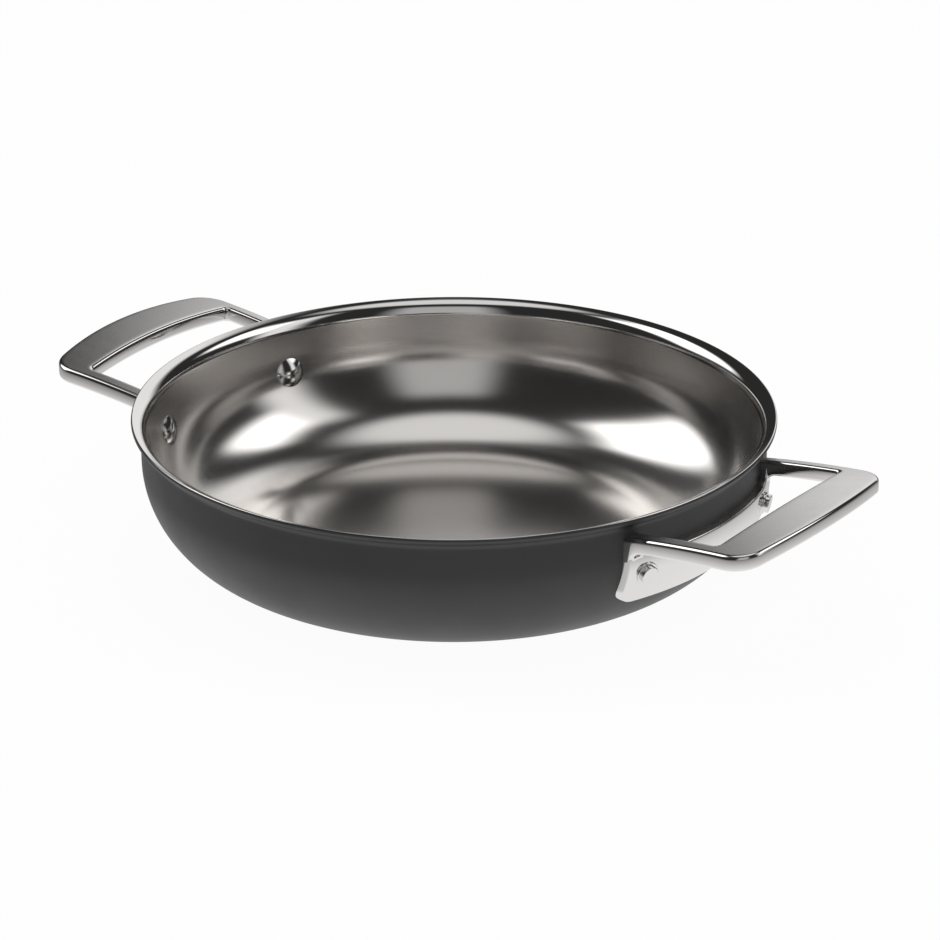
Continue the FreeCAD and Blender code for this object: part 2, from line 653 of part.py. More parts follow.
def loop_blank():
    """Grip and arms: an arched band carried outwards along an easing climb, then trimmed to its plan."""
    body = new_body("loop_blank")
    spread = size("arm_spread")
    root = size("wall_radius") - LOOP_STOCK
    arch = bow_radius(spread, size("arch_rise"))
    half = spread + LOOP_STOCK
    thick = size("grip_thick")
    climb = climb_radius()
    climb_centre = (
        size("wall_radius") + climb * math.sin(math.radians(size("arm_slope"))),
        size("bowl_height") - size("arm_drop") - climb * math.cos(math.radians(size("arm_slope"))),
    )
    root_height = climb_centre[1] + math.sqrt(climb ** 2 - (climb_centre[0] - root) ** 2)

    section = new_sketch(body, "arch_section", "YZ_Plane")
    section.AttachmentOffset = FreeCAD.Placement(Vector(0, 0, root), FreeCAD.Rotation())
    section.setExpression("AttachmentOffset.Base.z", "Sizes.wall_radius - %s" % LOOP_STOCK)
    crown = root_height + size("arch_rise")
    middle = (0.0, crown - arch)
    reach = math.degrees(math.asin(half / arch))
    low_reach = math.degrees(math.asin(half / (arch - thick)))
    upper = polar(middle, arch, 90.0 - reach)
    lower = polar(middle, arch - thick, 90.0 - low_reach)
    pieces = [
        arc(middle, arch, 90.0 - reach, 90.0 + reach),
        line((-half, upper[1]), (-half, lower[1])),
        arc(middle, arch - thick, 90.0 + low_reach, 90.0 - low_reach),
        line((half, lower[1]), (half, upper[1])),
    ]
    add_loop(section, pieces, set())
    arch_text = "((Sizes.arm_spread ^ 2 + Sizes.arch_rise ^ 2) / (2 * Sizes.arch_rise))"
    rule(section, "Vertical", 1)
    rule(section, "Vertical", 3)
    rule(section, "PointOnObject", 0, CENTRE, Y_AXIS)
    rule(section, "Coincident", 0, CENTRE, 2, CENTRE)
    fix(section, "Radius", (0,), arch, "arch", arch_text)
    fix(section, "Radius", (2,), arch - thick, "under", arch_text + " - Sizes.grip_thick")
    fix(section, "DistanceX", ORIGIN + (3, START), half, "half", "Sizes.arm_spread + %s" % LOOP_STOCK)
    fix(section, "DistanceX", (1, START) + ORIGIN, half, "other_half", "Sizes.arm_spread + %s" % LOOP_STOCK)
    crown_text = "%s + Sizes.arch_rise - %s" % (ROOT_HEIGHT, arch_text)
    fix(section, "DistanceY", ORIGIN + (0, CENTRE), middle[1], "crown", crown_text)

    path = new_sketch(body, "climb_path", "XZ_Plane")
    end_x = size("wall_radius") + size("grip_reach") + LOOP_STOCK
    first_angle = math.degrees(math.acos((root - climb_centre[0]) / climb))
    last_angle = math.degrees(math.acos((end_x - climb_centre[0]) / climb))
    path.addGeometry(arc(climb_centre, climb, first_angle, last_angle)[0], False)
    fix(path, "Radius", (0,), climb, "climb", CLIMB_RADIUS)
    fix(path, "DistanceX", ORIGIN + (0, CENTRE), climb_centre[0], "centre_out", CLIMB_CENTRE[0])
    fix(path, "DistanceY", (0, CENTRE) + ORIGIN, -climb_centre[1], "centre_down", "-(%s)" % CLIMB_CENTRE[1])
    fix(path, "DistanceX", ORIGIN + (0, END), root, "root", "Sizes.wall_radius - %s" % LOOP_STOCK)
    end_text = "Sizes.wall_radius + Sizes.grip_reach + %s" % LOOP_STOCK
    fix(path, "DistanceX", ORIGIN + (0, START), end_x, "end", end_text)

    band = body.newObject("PartDesign::AdditivePipe", "arched_band")
    band.Profile = section
    band.Spine = (path, ["Edge1"])
    band.Mode = "Fixed"
    body.Tip = band

    plan = new_sketch(body, "loop_plan", "XY_Plane")
    add_loop_plan(plan)
    trim = body.newObject("PartDesign::Pocket", "loop_trim")
    trim.Profile = plan
    trim.Type = "ThroughAll"
    trim.Reversed = True
    body.Tip = trim
    doc.recompute()
    beyond = size("wall_radius") - LOOP_STOCK + FACE_TOLERANCE
    upper = round_edges(
        body, trim, "loop_top_round", edges_between(trim.Shape, "side", "top", beyond=beyond), "top_round"
    )
    doc.recompute()
    lower_edges = edges_between(upper.Shape, "side", "under", beyond=beyond)
    round_edges(body, upper, "loop_under_round", lower_edges, "under_round")
    return body


def add_loop_plan(sketch):
    """A frame whose hole is the loop seen from above: two splayed arms and a bowed grip with round corners."""
    splay = math.radians(size("arm_splay"))
    root = size("wall_radius") - LOOP_STOCK
    outer_root = size("arm_spread") - (arm_start - root) * math.tan(splay)
    inner_root = outer_root - size("arm_width") / math.cos(splay)
    outer_tip = size("wall_radius") + size("grip_reach")
    inner_tip = outer_tip - size("grip_width")

    def bow(tip, side_root, half, sagitta, corner):
        """One bowed edge and the corner that joins it to an arm's side.

        Gives the bow's radius and centre, the corner's centre, and the angle where they join. The corner's
        centre lies one corner radius inside both the bow and the side.
        """
        radius = bow_radius(half, sagitta)
        centre = (tip - radius, 0.0)
        level = side_root - corner / math.cos(splay) + (centre[0] - root) * math.tan(splay)
        slope = math.tan(splay)
        share = 1 + slope ** 2
        along = math.sqrt(share * (radius - corner) ** 2 - level ** 2)
        beyond = (along - slope * level) / share
        corner_centre = (centre[0] + beyond, level + slope * beyond)
        turn = math.degrees(math.atan2(corner_centre[1], beyond))
        return radius, centre, corner_centre, turn

    out_round = size("outer_corner")
    in_round = size("inner_corner")
    half = size("arm_spread")
    inner_half = half - size("arm_width")
    out_radius, out_centre, out_corner, out_turn = bow(
        outer_tip, outer_root, half, size("outer_bow"), out_round
    )
    in_radius, in_centre, in_corner, in_turn = bow(
        inner_tip, inner_root, inner_half, size("inner_bow"), in_round
    )
    square = 90.0 + size("arm_splay")
    out_end = polar(out_corner, out_round, square)
    in_end = polar(in_corner, in_round, square)

    def flip(point):
        return point[0], -point[1]

    pieces = [
        line((root, -outer_root), flip(out_end)),
        arc(flip(out_corner), out_round, -square, -out_turn),
        arc(out_centre, out_radius, -out_turn, out_turn),
        arc(out_corner, out_round, out_turn, square),
        line(out_end, (root, outer_root)),
        line((root, outer_root), (root, inner_root)),
        line((root, inner_root), in_end),
        arc(in_corner, in_round, square, in_turn),
        arc(in_centre, in_radius, in_turn, -in_turn),
        arc(flip(in_corner), in_round, -in_turn, -square),
        line(flip(in_end), (root, -inner_root)),
        line((root, -inner_root), (root, -outer_root)),
    ]
    add_loop(sketch, pieces, {0, 1, 2, 3, 6, 7, 8, 9})
    rule(sketch, "Vertical", 5)
    rule(sketch, "PointOnObject", 2, CENTRE, X_AXIS)
    rule(sketch, "PointOnObject", 8, CENTRE, X_AXIS)
    rule(sketch, "Parallel", 4, 6)
    for rear, front in (((4, END), (0, START)), ((4, START), (0, END)),
                        ((6, START), (10, END)), ((6, END), (10, START))):
        rule(sketch, "Symmetric", *rear, *front, X_AXIS)
    out_bow_text = "((Sizes.arm_spread ^ 2 + Sizes.outer_bow ^ 2) / (2 * Sizes.outer_bow))"
    inner_text = "(Sizes.arm_spread - Sizes.arm_width)"
    in_bow_text = "((%s ^ 2 + Sizes.inner_bow ^ 2) / (2 * Sizes.inner_bow))" % inner_text
    tip_text = "Sizes.wall_radius + Sizes.grip_reach"
    root_text = "Sizes.wall_radius - %s" % LOOP_STOCK
    outer_root_text = "Sizes.arm_spread - (%s - %s) * tan(Sizes.arm_splay)" % (ARM_START, "(%s)" % root_text)
    fix(sketch, "DistanceX", ORIGIN + (5, START), root, "root", root_text)
    fix(sketch, "DistanceY", ORIGIN + (4, END), outer_root, "spread", outer_root_text)
    fix(sketch, "DistanceY", (6, START, 4, END), outer_root - inner_root, "arm_width",
        "Sizes.arm_width / cos(Sizes.arm_splay)")
    fix(sketch, "Angle", (0,), -splay, "splay", "-Sizes.arm_splay")
    fix(sketch, "Radius", (2,), out_radius, "outer_bow", out_bow_text)
    fix(sketch, "Radius", (8,), in_radius, "inner_bow", in_bow_text)
    fix(sketch, "Radius", (1,), out_round, "outer_corner", "Sizes.outer_corner")
    fix(sketch, "Radius", (7,), in_round, "inner_corner", "Sizes.inner_corner")
    out_centre_text = "%s - %s" % (tip_text, out_bow_text)
    in_centre_text = "%s - Sizes.grip_width - %s" % (tip_text, in_bow_text)
    fix(sketch, "DistanceX", ORIGIN + (2, CENTRE), out_centre[0], "outer_centre", out_centre_text)
    fix(sketch, "DistanceX", ORIGIN + (8, CENTRE), in_centre[0], "inner_centre", in_centre_text)
    add_frame(sketch, 0.0, -OUTSIDE, 2 * OUTSIDE, OUTSIDE)


# ---------------------------------------------------------------- rounding the casting
def distance_from_wall(point):
    """How far a point lies outside the bowl's upright wall or knuckle."""
    out = math.hypot(point.x, point.y)
    if point.z >= size("knuckle_radius"):
        return out - size("wall_radius")
    return math.hypot(out - floor_radius, point.z - size("knuckle_radius")) - size("knuckle_radius")


def face_kind(face):
    """What a face of the casting is: against the wall, the flange's front, an outline wall, top or under."""
    centre = face.CenterOfMass
    where = face.Surface.parameter(centre)
    point = face.Surface.value(*where)
    normal = face.normalAt(*where)
    off = distance_from_wall(point)
    if abs(normal.y) > SIDE_FACING:
        return "side"
    if abs(off - size("seat_gap")) < FACE_TOLERANCE:
        return "back"
    if abs(off - size("seat_gap") - size("flange_thick")) < FACE_TOLERANCE:
        return "front"
    if off < size("seat_gap") + size("flange_thick") and abs(normal.x) < FACE_TOLERANCE:
        return "side"
    if abs(normal.z) < FACE_TOLERANCE:
        return "side"
    return "top" if normal.z > 0 else "under"


def edges_between(shape, first, second, beyond=-OUTSIDE, below=OUTSIDE):
    """The names of the edges between faces of two kinds, past one plane across X and under a height."""
    names = []
    for index, edge in enumerate(shape.Edges, start=1):
        kinds = sorted(face_kind(face) for face in shape.ancestorsOfType(edge, Part.Face))
        middle = edge.CenterOfMass
        if kinds == sorted((first, second)) and middle.x > beyond and middle.z < below:
            names.append("Edge%d" % index)
    return names


def round_edges(body, base, name, names, alias):
    feature = body.newObject("PartDesign::Fillet", name)
    feature.Base = (base, names)
    feature.Radius = size(alias)
    feature.setExpression("Radius", "Sizes." + alias)
    body.Tip = feature
    return feature


def make_handle(wall_form):
    """Loop and flange cast in one, spot-faced and drilled for the rivets."""
    loop = loop_blank()
    flange = flange_blank()
    casting = doc.addObject("Part::Fuse", "handle_casting")
    casting.Base = cut_tool("loop_seated", loop, wall_form)
    casting.Tool = flange
    casting.Refine = True
    spot_radius = "Sizes.washer_dia / 2 + %s" % SPOT_MARGIN
    spots = rivet_holes("spot_faces", ("right",), washer_seat_at, LOOP_STOCK, spot_radius)
    faced = cut_tool("handle_spot_faced", casting, spots)
    holes = rivet_holes("handle_holes", ("right",), 0.0, LOOP_STOCK, SHANK_HOLE)
    return cut_tool("handle_right", faced, holes)


# ---------------------------------------------------------------- building
def make_ply(name, section, holes):
    """One ply of the bonded bowl: its section turned about the axis, with the rivets' holes."""
    body, sketch = section()
    revolve(body, sketch, name + "_turned")
    return cut_tool(name, body, holes)


cavity = filled_form("cavity_form", wall_thick, WALL_THICK)
wall = filled_form("wall_form", -size("seat_gap"), "-Sizes.seat_gap")
bowl_holes = rivet_holes("bowl_holes", SIDES, -HEAD_STOCK, HEAD_STOCK + 2 * wall_thick, SHANK_HOLE)
pieces = [
    make_ply("inner_liner", liner_sheet, bowl_holes),
    make_ply("aluminium_core", core_sheet, bowl_holes),
    make_ply("outer_skin", skin_sheet, bowl_holes),
    make_handle(wall),
]
other_handle = doc.addObject("Part::Mirroring", "handle_left")
other_handle.Source = pieces[-1]
other_handle.Normal = Vector(1, 0, 0)
other_handle.Label = "handle_left"
pieces.append(other_handle)
for side in SIDES:
    for end in ENDS:
        pieces.append(make_rivet(side, end, cavity))
        pieces.append(make_washer(side, end))
doc.recompute()

for item in doc.Objects:
    if "Invalid" in item.State or "Error" in item.State:
        raise RuntimeError("%s failed: %s" % (item.Label, item.State))
for piece in pieces:
    if piece.Shape.isNull() or not piece.Shape.isValid() or len(piece.Shape.Solids) != 1:
        raise RuntimeError("%s is not one valid solid" % piece.Label)
for piece in pieces:
    piece.Shape.exportStep("parts/%s.step" % piece.Label)
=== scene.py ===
"""Looks of a low, round braiser: a clad bowl with a satin inside and two polished loop handles, riveted on.

Metres, in the frame of the packed model: the origin is the middle of the flat base, +X runs through the
middle of the right handle, and -Y faces the front.
"""
import math

import bmesh
import bpy
import numpy as np
from bpy.props import FloatProperty, IntProperty, PointerProperty, StringProperty
from mathutils import Euler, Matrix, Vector


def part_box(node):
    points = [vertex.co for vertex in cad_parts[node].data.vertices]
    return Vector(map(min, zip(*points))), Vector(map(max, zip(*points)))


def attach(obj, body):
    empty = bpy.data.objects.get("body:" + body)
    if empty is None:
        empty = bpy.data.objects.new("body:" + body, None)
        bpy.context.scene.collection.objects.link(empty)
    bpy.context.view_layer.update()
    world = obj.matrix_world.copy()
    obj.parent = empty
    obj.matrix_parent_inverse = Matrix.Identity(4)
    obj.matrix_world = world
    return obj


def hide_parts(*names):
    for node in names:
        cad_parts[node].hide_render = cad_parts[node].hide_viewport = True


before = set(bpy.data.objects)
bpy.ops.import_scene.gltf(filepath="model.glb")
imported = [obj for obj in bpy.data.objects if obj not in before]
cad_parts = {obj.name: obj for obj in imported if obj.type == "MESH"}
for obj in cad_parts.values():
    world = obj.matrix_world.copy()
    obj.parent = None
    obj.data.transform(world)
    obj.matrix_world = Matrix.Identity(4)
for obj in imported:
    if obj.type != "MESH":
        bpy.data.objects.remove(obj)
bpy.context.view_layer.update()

bl_info = {
    "name": "Braiser",
    "version": (1, 0, 0),
    "blender": (4, 5, 0),
    "location": "View3D > Sidebar > Braiser",
    "description": "Builds a clad braiser with two riveted loop handles",
    "category": "Add Mesh",
}

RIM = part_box("outer_skin")[1]
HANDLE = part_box("handle_right")[1]
SIDES = {"right": 1.0, "left": -1.0}
ENDS = {"front": -1.0, "rear": 1.0}


# ---------------------------------------------------------------- settings
def length(name, description, default):
    """A length in metres."""
    return FloatProperty(name=name, description=description, default=default, unit="LENGTH", precision=5)


def angle(name, description, degrees):
    """An angle, given in degrees and kept in radians."""
    return FloatProperty(name=name, description=description, default=math.radians(degrees), subtype="ANGLE")


def share(name, description, default):
    """A number from 0 to 1."""
    return FloatProperty(name=name, description=description, default=default, min=0, max=1, subtype="FACTOR")


def hex_colour(name, description, default):
    """An sRGB colour, as six hex digits."""
    return StringProperty(name=name, description=description, default=default)


class BraiserBowl(bpy.types.PropertyGroup):
    """Sizes of the bowl and its three bonded plies."""

    rim_radius: length("Rim radius", "Outermost edge of the flared lip", RIM.x)
    height: length("Height", "Base to top of the rim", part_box("inner_liner")[1].z)
    wall_radius: length("Wall radius", "Outside of the upright wall", 0.148)
    knuckle: length("Knuckle", "Outside round between wall and base", 0.050)
    lip_angle: angle("Lip angle", "How far the flare turns outwards", 70.0)
    liner: length("Liner", "Thickness of the stainless cooking surface", 0.0005)
    core: length("Core", "Thickness of the aluminium", 0.0018)
    skin: length("Skin", "Thickness of the hard-anodised outer ply", 0.0005)
    polish_drop: length("Polish", "Depth of the polished band below the top of the rim", 0.0073)
    segments: IntProperty(name="Segments", description="Faces round the bowl", default=384, min=48, max=720)


class BraiserHandle(bpy.types.PropertyGroup):
    """Sizes of the cast loop handle and its flange."""

    reach: length("Reach", "Middle of the pan to the outer edge of the grip", HANDLE.x)
    spread: length("Spread", "Middle plane to the outer side of an arm, at the wall", 0.0585)
    splay: angle("Splay", "How far each arm leans away from the middle plane", 1.7)
    arm_width: length("Arm width", "Width of an arm", 0.0078)
    arm_drop: length("Arm drop", "Rim to the top of an arm at the wall", 0.0088)
    arm_slope: angle("Arm slope", "Climb of the arms at the wall", 8.1)
    grip_slope: angle("Grip slope", "Climb of the grip at its outer edge", 2.1)
    thick: length("Thickness", "Thickness of grip and arms", 0.0075)
    arch: length("Arch", "Rise of the grip's middle over its ends", 0.0035)
    grip_width: length("Grip width", "Width of the grip in the middle", 0.0244)
    outer_bow: length("Outer bow", "Bow of the grip's outer edge", 0.0075)
    inner_bow: length("Inner bow", "Bow of the grip's inner edge", 0.0023)
    outer_corner: length("Outer corner", "Plan radius of the loop's outer corners", 0.014)
    inner_corner: length("Inner corner", "Plan radius of the window's corners", 0.0024)
    top_round: length("Top round", "Round of the upper edges", 0.002)
    under_round: length("Under round", "Round of the lower edges", 0.0015)
    root_round: length("Root round", "Hollow round under an arm, where it meets the flange", 0.004)
    flange: length("Flange", "Thickness of the flange", 0.0036)
    notch_drop: length("Notch", "Rim to the flange's edge between the arms", 0.020)
    foot_drop: length("Foot", "Rim to the flange's bottom edge", 0.044)
    foot_corner: length("Foot corner", "Round of the flange's bottom corners", 0.007)
    flange_round: length("Flange round", "Round of the flange's front edges", 0.0009)
    seat_gap: length("Seat gap", "Clearance between flange and wall", 0.00005)


class BraiserRivet(bpy.types.PropertyGroup):
    """Sizes and places of the rivets and of the washers under their tails."""

    turn: angle("Angle", "Turn round the bowl from the handle's middle plane", 19.0)
    drop: length("Drop", "Rim to the rivet's centre on the cooking surface", 0.028)
    shank: length("Shank", "Diameter of the shank", 0.0064)
    head: length("Head", "Diameter of the domed head", 0.0145)
    head_edge: length("Head edge", "Straight edge of the head", 0.0009)
    head_rise: length("Head rise", "Rise of the dome over that edge", 0.002)
    tail: length("Tail", "Diameter of the flat tail", 0.0088)
    tail_length: length("Tail length", "Length of the tail beyond its washer", 0.0022)
    tail_round: length("Tail round", "Round of the tail's rim", 0.0004)
    washer: length("Washer", "Diameter of the washer", 0.011)
    washer_thick: length("Washer thickness", "Thickness of the washer", 0.0011)
    washer_round: length("Washer round", "Round of the washer's rim", 0.0003)
    washer_gap: length("Washer gap", "Clearance round the shank", 0.00005)
    spot_depth: length("Spot face", "Depth of the flat that the washer sits on", 0.0001)


class BraiserFinish(bpy.types.PropertyGroup):
    """Colours and gloss of the metals."""

    anodised: hex_colour("Anodised", "Outer skin", "212121")
    anodised_roughness: share("Anodised roughness", "Gloss of the outer skin", 0.5)
    anodised_mirror: share("Anodised mirror", "How much the outer skin mirrors, 0.5 being common", 0.7)
    satin: hex_colour("Satin steel", "Cooking surface", "dad7d4")
    satin_roughness: share("Satin roughness", "Gloss of the cooking surface", 0.165)
    wall_roughness: share("Wall roughness", "Gloss of the upright wall inside", 0.25)
    polish: hex_colour("Polished steel", "Handles, rivets and lip", "dad8d7")
    polish_roughness: share("Polish roughness", "Gloss of the polished steel", 0.07)
    brushed_roughness: share("Brushed roughness", "Gloss of the brushed top of each handle", 0.28)
    aluminium: hex_colour("Bare aluminium", "Core", "d5d6d8")


class BraiserStage(bpy.types.PropertyGroup):
    """Camera, floor and lights."""

    azimuth: angle("Azimuth", "Turn of the camera round the pan", 35.95)
    elevation: angle("Elevation", "Height of the camera over the horizon", 22.89)
    camera_x: length("Camera X", "Camera's place along X", 1.03353)
    camera_y: length("Camera Y", "Camera's place along Y", -1.41236)
    camera_z: length("Camera Z", "Camera's height over the floor", 0.77766)
    lens: FloatProperty(
        name="Lens", description="Focal length on a 36 mm sensor", default=152.97, min=20.0, max=400.0,
        unit="CAMERA",
    )
    floor_radius: length("Floor", "Radius of the floor", 6.0)
    floor_colour: hex_colour("Floor colour", "White of the floor", "f4f4f4")
    overhead_height: length("Lamp height", "Height of the overhead lamp", 1.5)
    overhead_size: length("Lamp size", "Diameter of the overhead lamp", 1.8)
    overhead_power: FloatProperty(
        name="Lamp power", description="Power of the overhead lamp", default=10.0, min=0.0, unit="POWER",
    )


GROUPS = {
    "braiser_bowl": BraiserBowl,
    "braiser_handle": BraiserHandle,
    "braiser_rivet": BraiserRivet,
    "braiser_finish": BraiserFinish,
    "braiser_stage": BraiserStage,
}


# ---------------------------------------------------------------- surfaces
# Points nearer together than this are one point, and edges sharper than the crease stay sharp.
WELD = 0.5e-6
CREASE = math.radians(30.0)


def arc(centre, radius, first, last, steps):
    """Points of an arc in a plane: centre + radius (cos t, sin t), with t in degrees from first to last."""
    turn = np.radians(np.linspace(first, last, steps + 1))
    return np.stack([centre[0] + radius * np.cos(turn), centre[1] + radius * np.sin(turn)], axis=1)


def straight(start, end, steps=2):
    """Points of a straight line: start + share (end - start)."""
    along = np.linspace(0.0, 1.0, steps + 1)[:, None]
    return np.array(start) + along * (np.array(end) - np.array(start))


def joined(*runs):
    """Runs of points end to end, each without the point that it shares with the run before it."""
    return np.concatenate([runs[0]] + [run[1:] for run in runs[1:]])


def turned(section, segments):
    """A section of (radius, height) turned about the Z axis: (r cos a, r sin a, z) for a full turn of a."""
    turn = np.linspace(0.0, 2.0 * math.pi, segments + 1)
    radius = section[:, 0, None]
    height = np.broadcast_to(section[:, 1, None], (len(section), segments + 1))
    return np.stack([radius * np.cos(turn), radius * np.sin(turn), height], axis=2)


def closed_mesh(name, grids):
    """One closed mesh from grids of points, whose edges meet.

    Each grid gives a quad for every four neighbouring points. Points that coincide are merged, which closes
    seams and poles, and the faces are then turned outwards.
    """
    points = np.concatenate([grid.reshape(-1, 3) for grid in grids])
    faces = []
    first = 0
    for grid in grids:
        rows, columns = grid.shape[:2]
        index = first + np.arange(rows * columns).reshape(rows, columns)
        corners = (index[:-1, :-1], index[:-1, 1:], index[1:, 1:], index[1:, :-1])
        faces.append(np.stack(corners, axis=2).reshape(-1, 4))
        first += rows * columns
    mesh = bpy.data.meshes.new(name)
    mesh.from_pydata(points, [], np.concatenate(faces).tolist())
    shape = bmesh.new()
    shape.from_mesh(mesh)
    bmesh.ops.remove_doubles(shape, verts=shape.verts, dist=WELD)
    bmesh.ops.dissolve_degenerate(shape, edges=shape.edges, dist=WELD)
    bmesh.ops.recalc_face_normals(shape, faces=shape.faces)
    shape.to_mesh(mesh)
    shape.free()
    mesh.polygons.foreach_set("use_smooth", np.ones(len(mesh.polygons), dtype=bool))
    mesh.set_sharp_from_angle(angle=CREASE)
    return mesh


def add_piece(mesh, material, node):
    """Puts a finished mesh into the scene in place of the node that it stands for."""
    piece = bpy.data.objects.new(mesh.name, mesh)
    bpy.context.scene.collection.objects.link(piece)
    mesh.materials.append(material)
    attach(piece, "root")
    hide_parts(node)


# ---------------------------------------------------------------- the bowl's section
# Steps along the floor, the knuckle, the wall and the flare, then across the lip and round its two edges.
FLOOR_STEPS, KNUCKLE_STEPS, WALL_STEPS, FLARE_STEPS = 24, 36, 6, 16
LIP_STEPS, LINER_EDGE_STEPS, SKIN_EDGE_STEPS = 3, 8, 12


def flare(bowl):
    """Centre and radius of the outer skin's flare, which leaves the wall upright and turns by lip_angle.

    The radius, plus core and skin, is (rim radius - wall radius) / (1 - cos(lip angle)), so that the wrapped
    edge reaches the rim. The centre's height puts the top of the liner's small round at the full height.
    """
    under = bowl.core + bowl.skin
    radius = (bowl.rim_radius - bowl.wall_radius) / (1.0 - math.cos(bowl.lip_angle)) - under
    height = (
        bowl.height - bowl.liner - (radius + under) * math.sin(bowl.lip_angle)
        - (under - bowl.liner) * math.cos(bowl.lip_angle)
    )
    return (bowl.wall_radius + radius, height), radius


def outline(bowl, depth):
    """The bowl's outline at a depth from the outside: flat floor, knuckle, upright wall and flare."""
    centre, radius = flare(bowl)
    knuckle = (bowl.wall_radius - bowl.knuckle, bowl.knuckle)
    wall = bowl.wall_radius - depth
    lip = 180.0 - math.degrees(bowl.lip_angle)
    return joined(
        straight((0.0, depth), (knuckle[0], depth), FLOOR_STEPS),
        arc(knuckle, bowl.knuckle - depth, -90.0, 0.0, KNUCKLE_STEPS),
        straight((wall, bowl.knuckle), (wall, centre[1]), WALL_STEPS),
        arc(centre, radius + depth, 180.0, lip, FLARE_STEPS),
    )


def lip_point(bowl, depth, along):
    """A point of the lip: at a depth from the outside, and a distance past the end of the flare."""
    centre, radius = flare(bowl)
    turn = bowl.lip_angle
    return (
        centre[0] - (radius + depth) * math.cos(turn) + along * math.sin(turn),
        centre[1] + (radius + depth) * math.sin(turn) + along * math.cos(turn),
    )


def liner_section(bowl):
    """The liner: its underside, a small round past the wrapped edge, and the cooking surface to the axis."""
    under = bowl.core + bowl.skin
    wall = under + bowl.liner
    shoulder = under - bowl.liner
    start = 90.0 - math.degrees(bowl.lip_angle)
    return joined(
        outline(bowl, under),
        straight(lip_point(bowl, under, 0.0), lip_point(bowl, under, under), LIP_STEPS),
        arc(lip_point(bowl, under, shoulder), bowl.liner, start, start + 90.0, LINER_EDGE_STEPS),
        straight(lip_point(bowl, wall, shoulder), lip_point(bowl, wall, 0.0), LIP_STEPS),
        outline(bowl, wall)[::-1],
    )


def skin_section(bowl):
    """The skin: the outside, a quarter round over the core's edge, and the inside back to the axis."""
    under = bowl.core + bowl.skin
    start = -math.degrees(bowl.lip_angle)
    return joined(
        outline(bowl, 0.0),
        arc(lip_point(bowl, under, 0.0), under, start, start + 90.0, SKIN_EDGE_STEPS),
        straight(lip_point(bowl, under, under), lip_point(bowl, under, 0.0), LIP_STEPS),
        straight(lip_point(bowl, under, 0.0), lip_point(bowl, bowl.skin, 0.0), LIP_STEPS),
        outline(bowl, bowl.skin)[::-1],
    )


def wall_radius_at(bowl, height, depth):
    """Radius of the wall at a height, a depth inside its outside. A negative depth is a distance outside it.

    It is wall radius - knuckle + the root of (knuckle - depth) squared less the square of how far the height
    lies below the knuckle's top.
    """
    below = np.clip(bowl.knuckle - height, 0.0, None)
    return bowl.wall_radius - bowl.knuckle + np.sqrt((bowl.knuckle - depth) ** 2 - below ** 2)


# ---------------------------------------------------------------- the loop
# Rows of points along an arm, round a corner, over the whole grip, and in the hollow round at an arm's root.
ARM_ROWS, CORNER_ROWS, GRIP_ROWS, ROOT_ROWS = 16, 18, 60, 14
# Lanes of points across a face, and round an upper and a lower edge.
FACE_LANES, TOP_LANES, UNDER_LANES = 10, 9, 7


def side_line(handle, inset, inner):
    """The straight side of an arm, y = level + slope x, moved into the arm by an inset."""
    slope = math.tan(handle.splay)
    wall = bpy.context.scene.braiser_bowl.wall_radius
    start = math.sqrt(wall ** 2 - handle.spread ** 2)
    level = handle.spread - slope * start
    shift = (handle.arm_width - inset if inner else inset) / math.cos(handle.splay)
    return level - shift, slope


def on_circle(line, radius):
    """Where a line y = level + slope x meets circles about the origin, on the side of positive x."""
    level, slope = line
    square = 1.0 + slope ** 2
    x = (-slope * level + np.sqrt(square * radius ** 2 - level ** 2)) / square
    return np.stack([x, level + slope * x], axis=-1)


def lane(handle, inset, inner, depth):
    """Plan of one line of points along the loop, from the wall to the middle of the grip.

    The line lies an inset inside the loop's outer or inner edge: a row on the wall, rows in the hollow round
    at the root, then the arm, the corner and half of the bowed grip. In the root the rows lie at a radius of
    face + root - (root + depth) cos t, where t goes from 0 to 90 degrees.
    """
    bowl = bpy.context.scene.braiser_bowl
    line = side_line(handle, inset, inner)
    face = bowl.wall_radius + handle.seat_gap + handle.flange
    half = handle.spread - handle.arm_width if inner else handle.spread
    sagitta = handle.inner_bow if inner else handle.outer_bow
    tip = handle.reach - handle.grip_width if inner else handle.reach
    radius = (half ** 2 + sagitta ** 2) / (2.0 * sagitta)
    centre = tip - radius
    corner = handle.inner_corner if inner else handle.outer_corner

    # The corner's centre stays where the edge itself has it; only the radii change with the inset.
    edge_line = side_line(handle, 0.0, inner)
    level = edge_line[0] - corner / math.cos(handle.splay) + centre * edge_line[1]
    square = 1.0 + edge_line[1] ** 2
    beyond = (math.sqrt(square * (radius - corner) ** 2 - level ** 2) - edge_line[1] * level) / square
    corner_centre = (centre + beyond, level + edge_line[1] * beyond)
    turn = math.degrees(math.atan2(corner_centre[1], beyond))
    moved = inset if inner else -inset

    theta = np.linspace(0.0, math.pi / 2.0, ROOT_ROWS)
    root = face + handle.root_round - (handle.root_round + depth) * np.cos(theta)
    root = np.concatenate([[bowl.wall_radius + handle.seat_gap], root])
    rooted = on_circle(line, root)
    corner_run = arc(corner_centre, corner + moved, 90.0 + math.degrees(handle.splay), turn, CORNER_ROWS)
    arm_run = straight(rooted[-1], corner_run[0], ARM_ROWS)
    grip_run = arc((centre, 0.0), radius + moved, turn, 0.0, GRIP_ROWS // 2)
    return joined(rooted, arm_run, corner_run, grip_run)


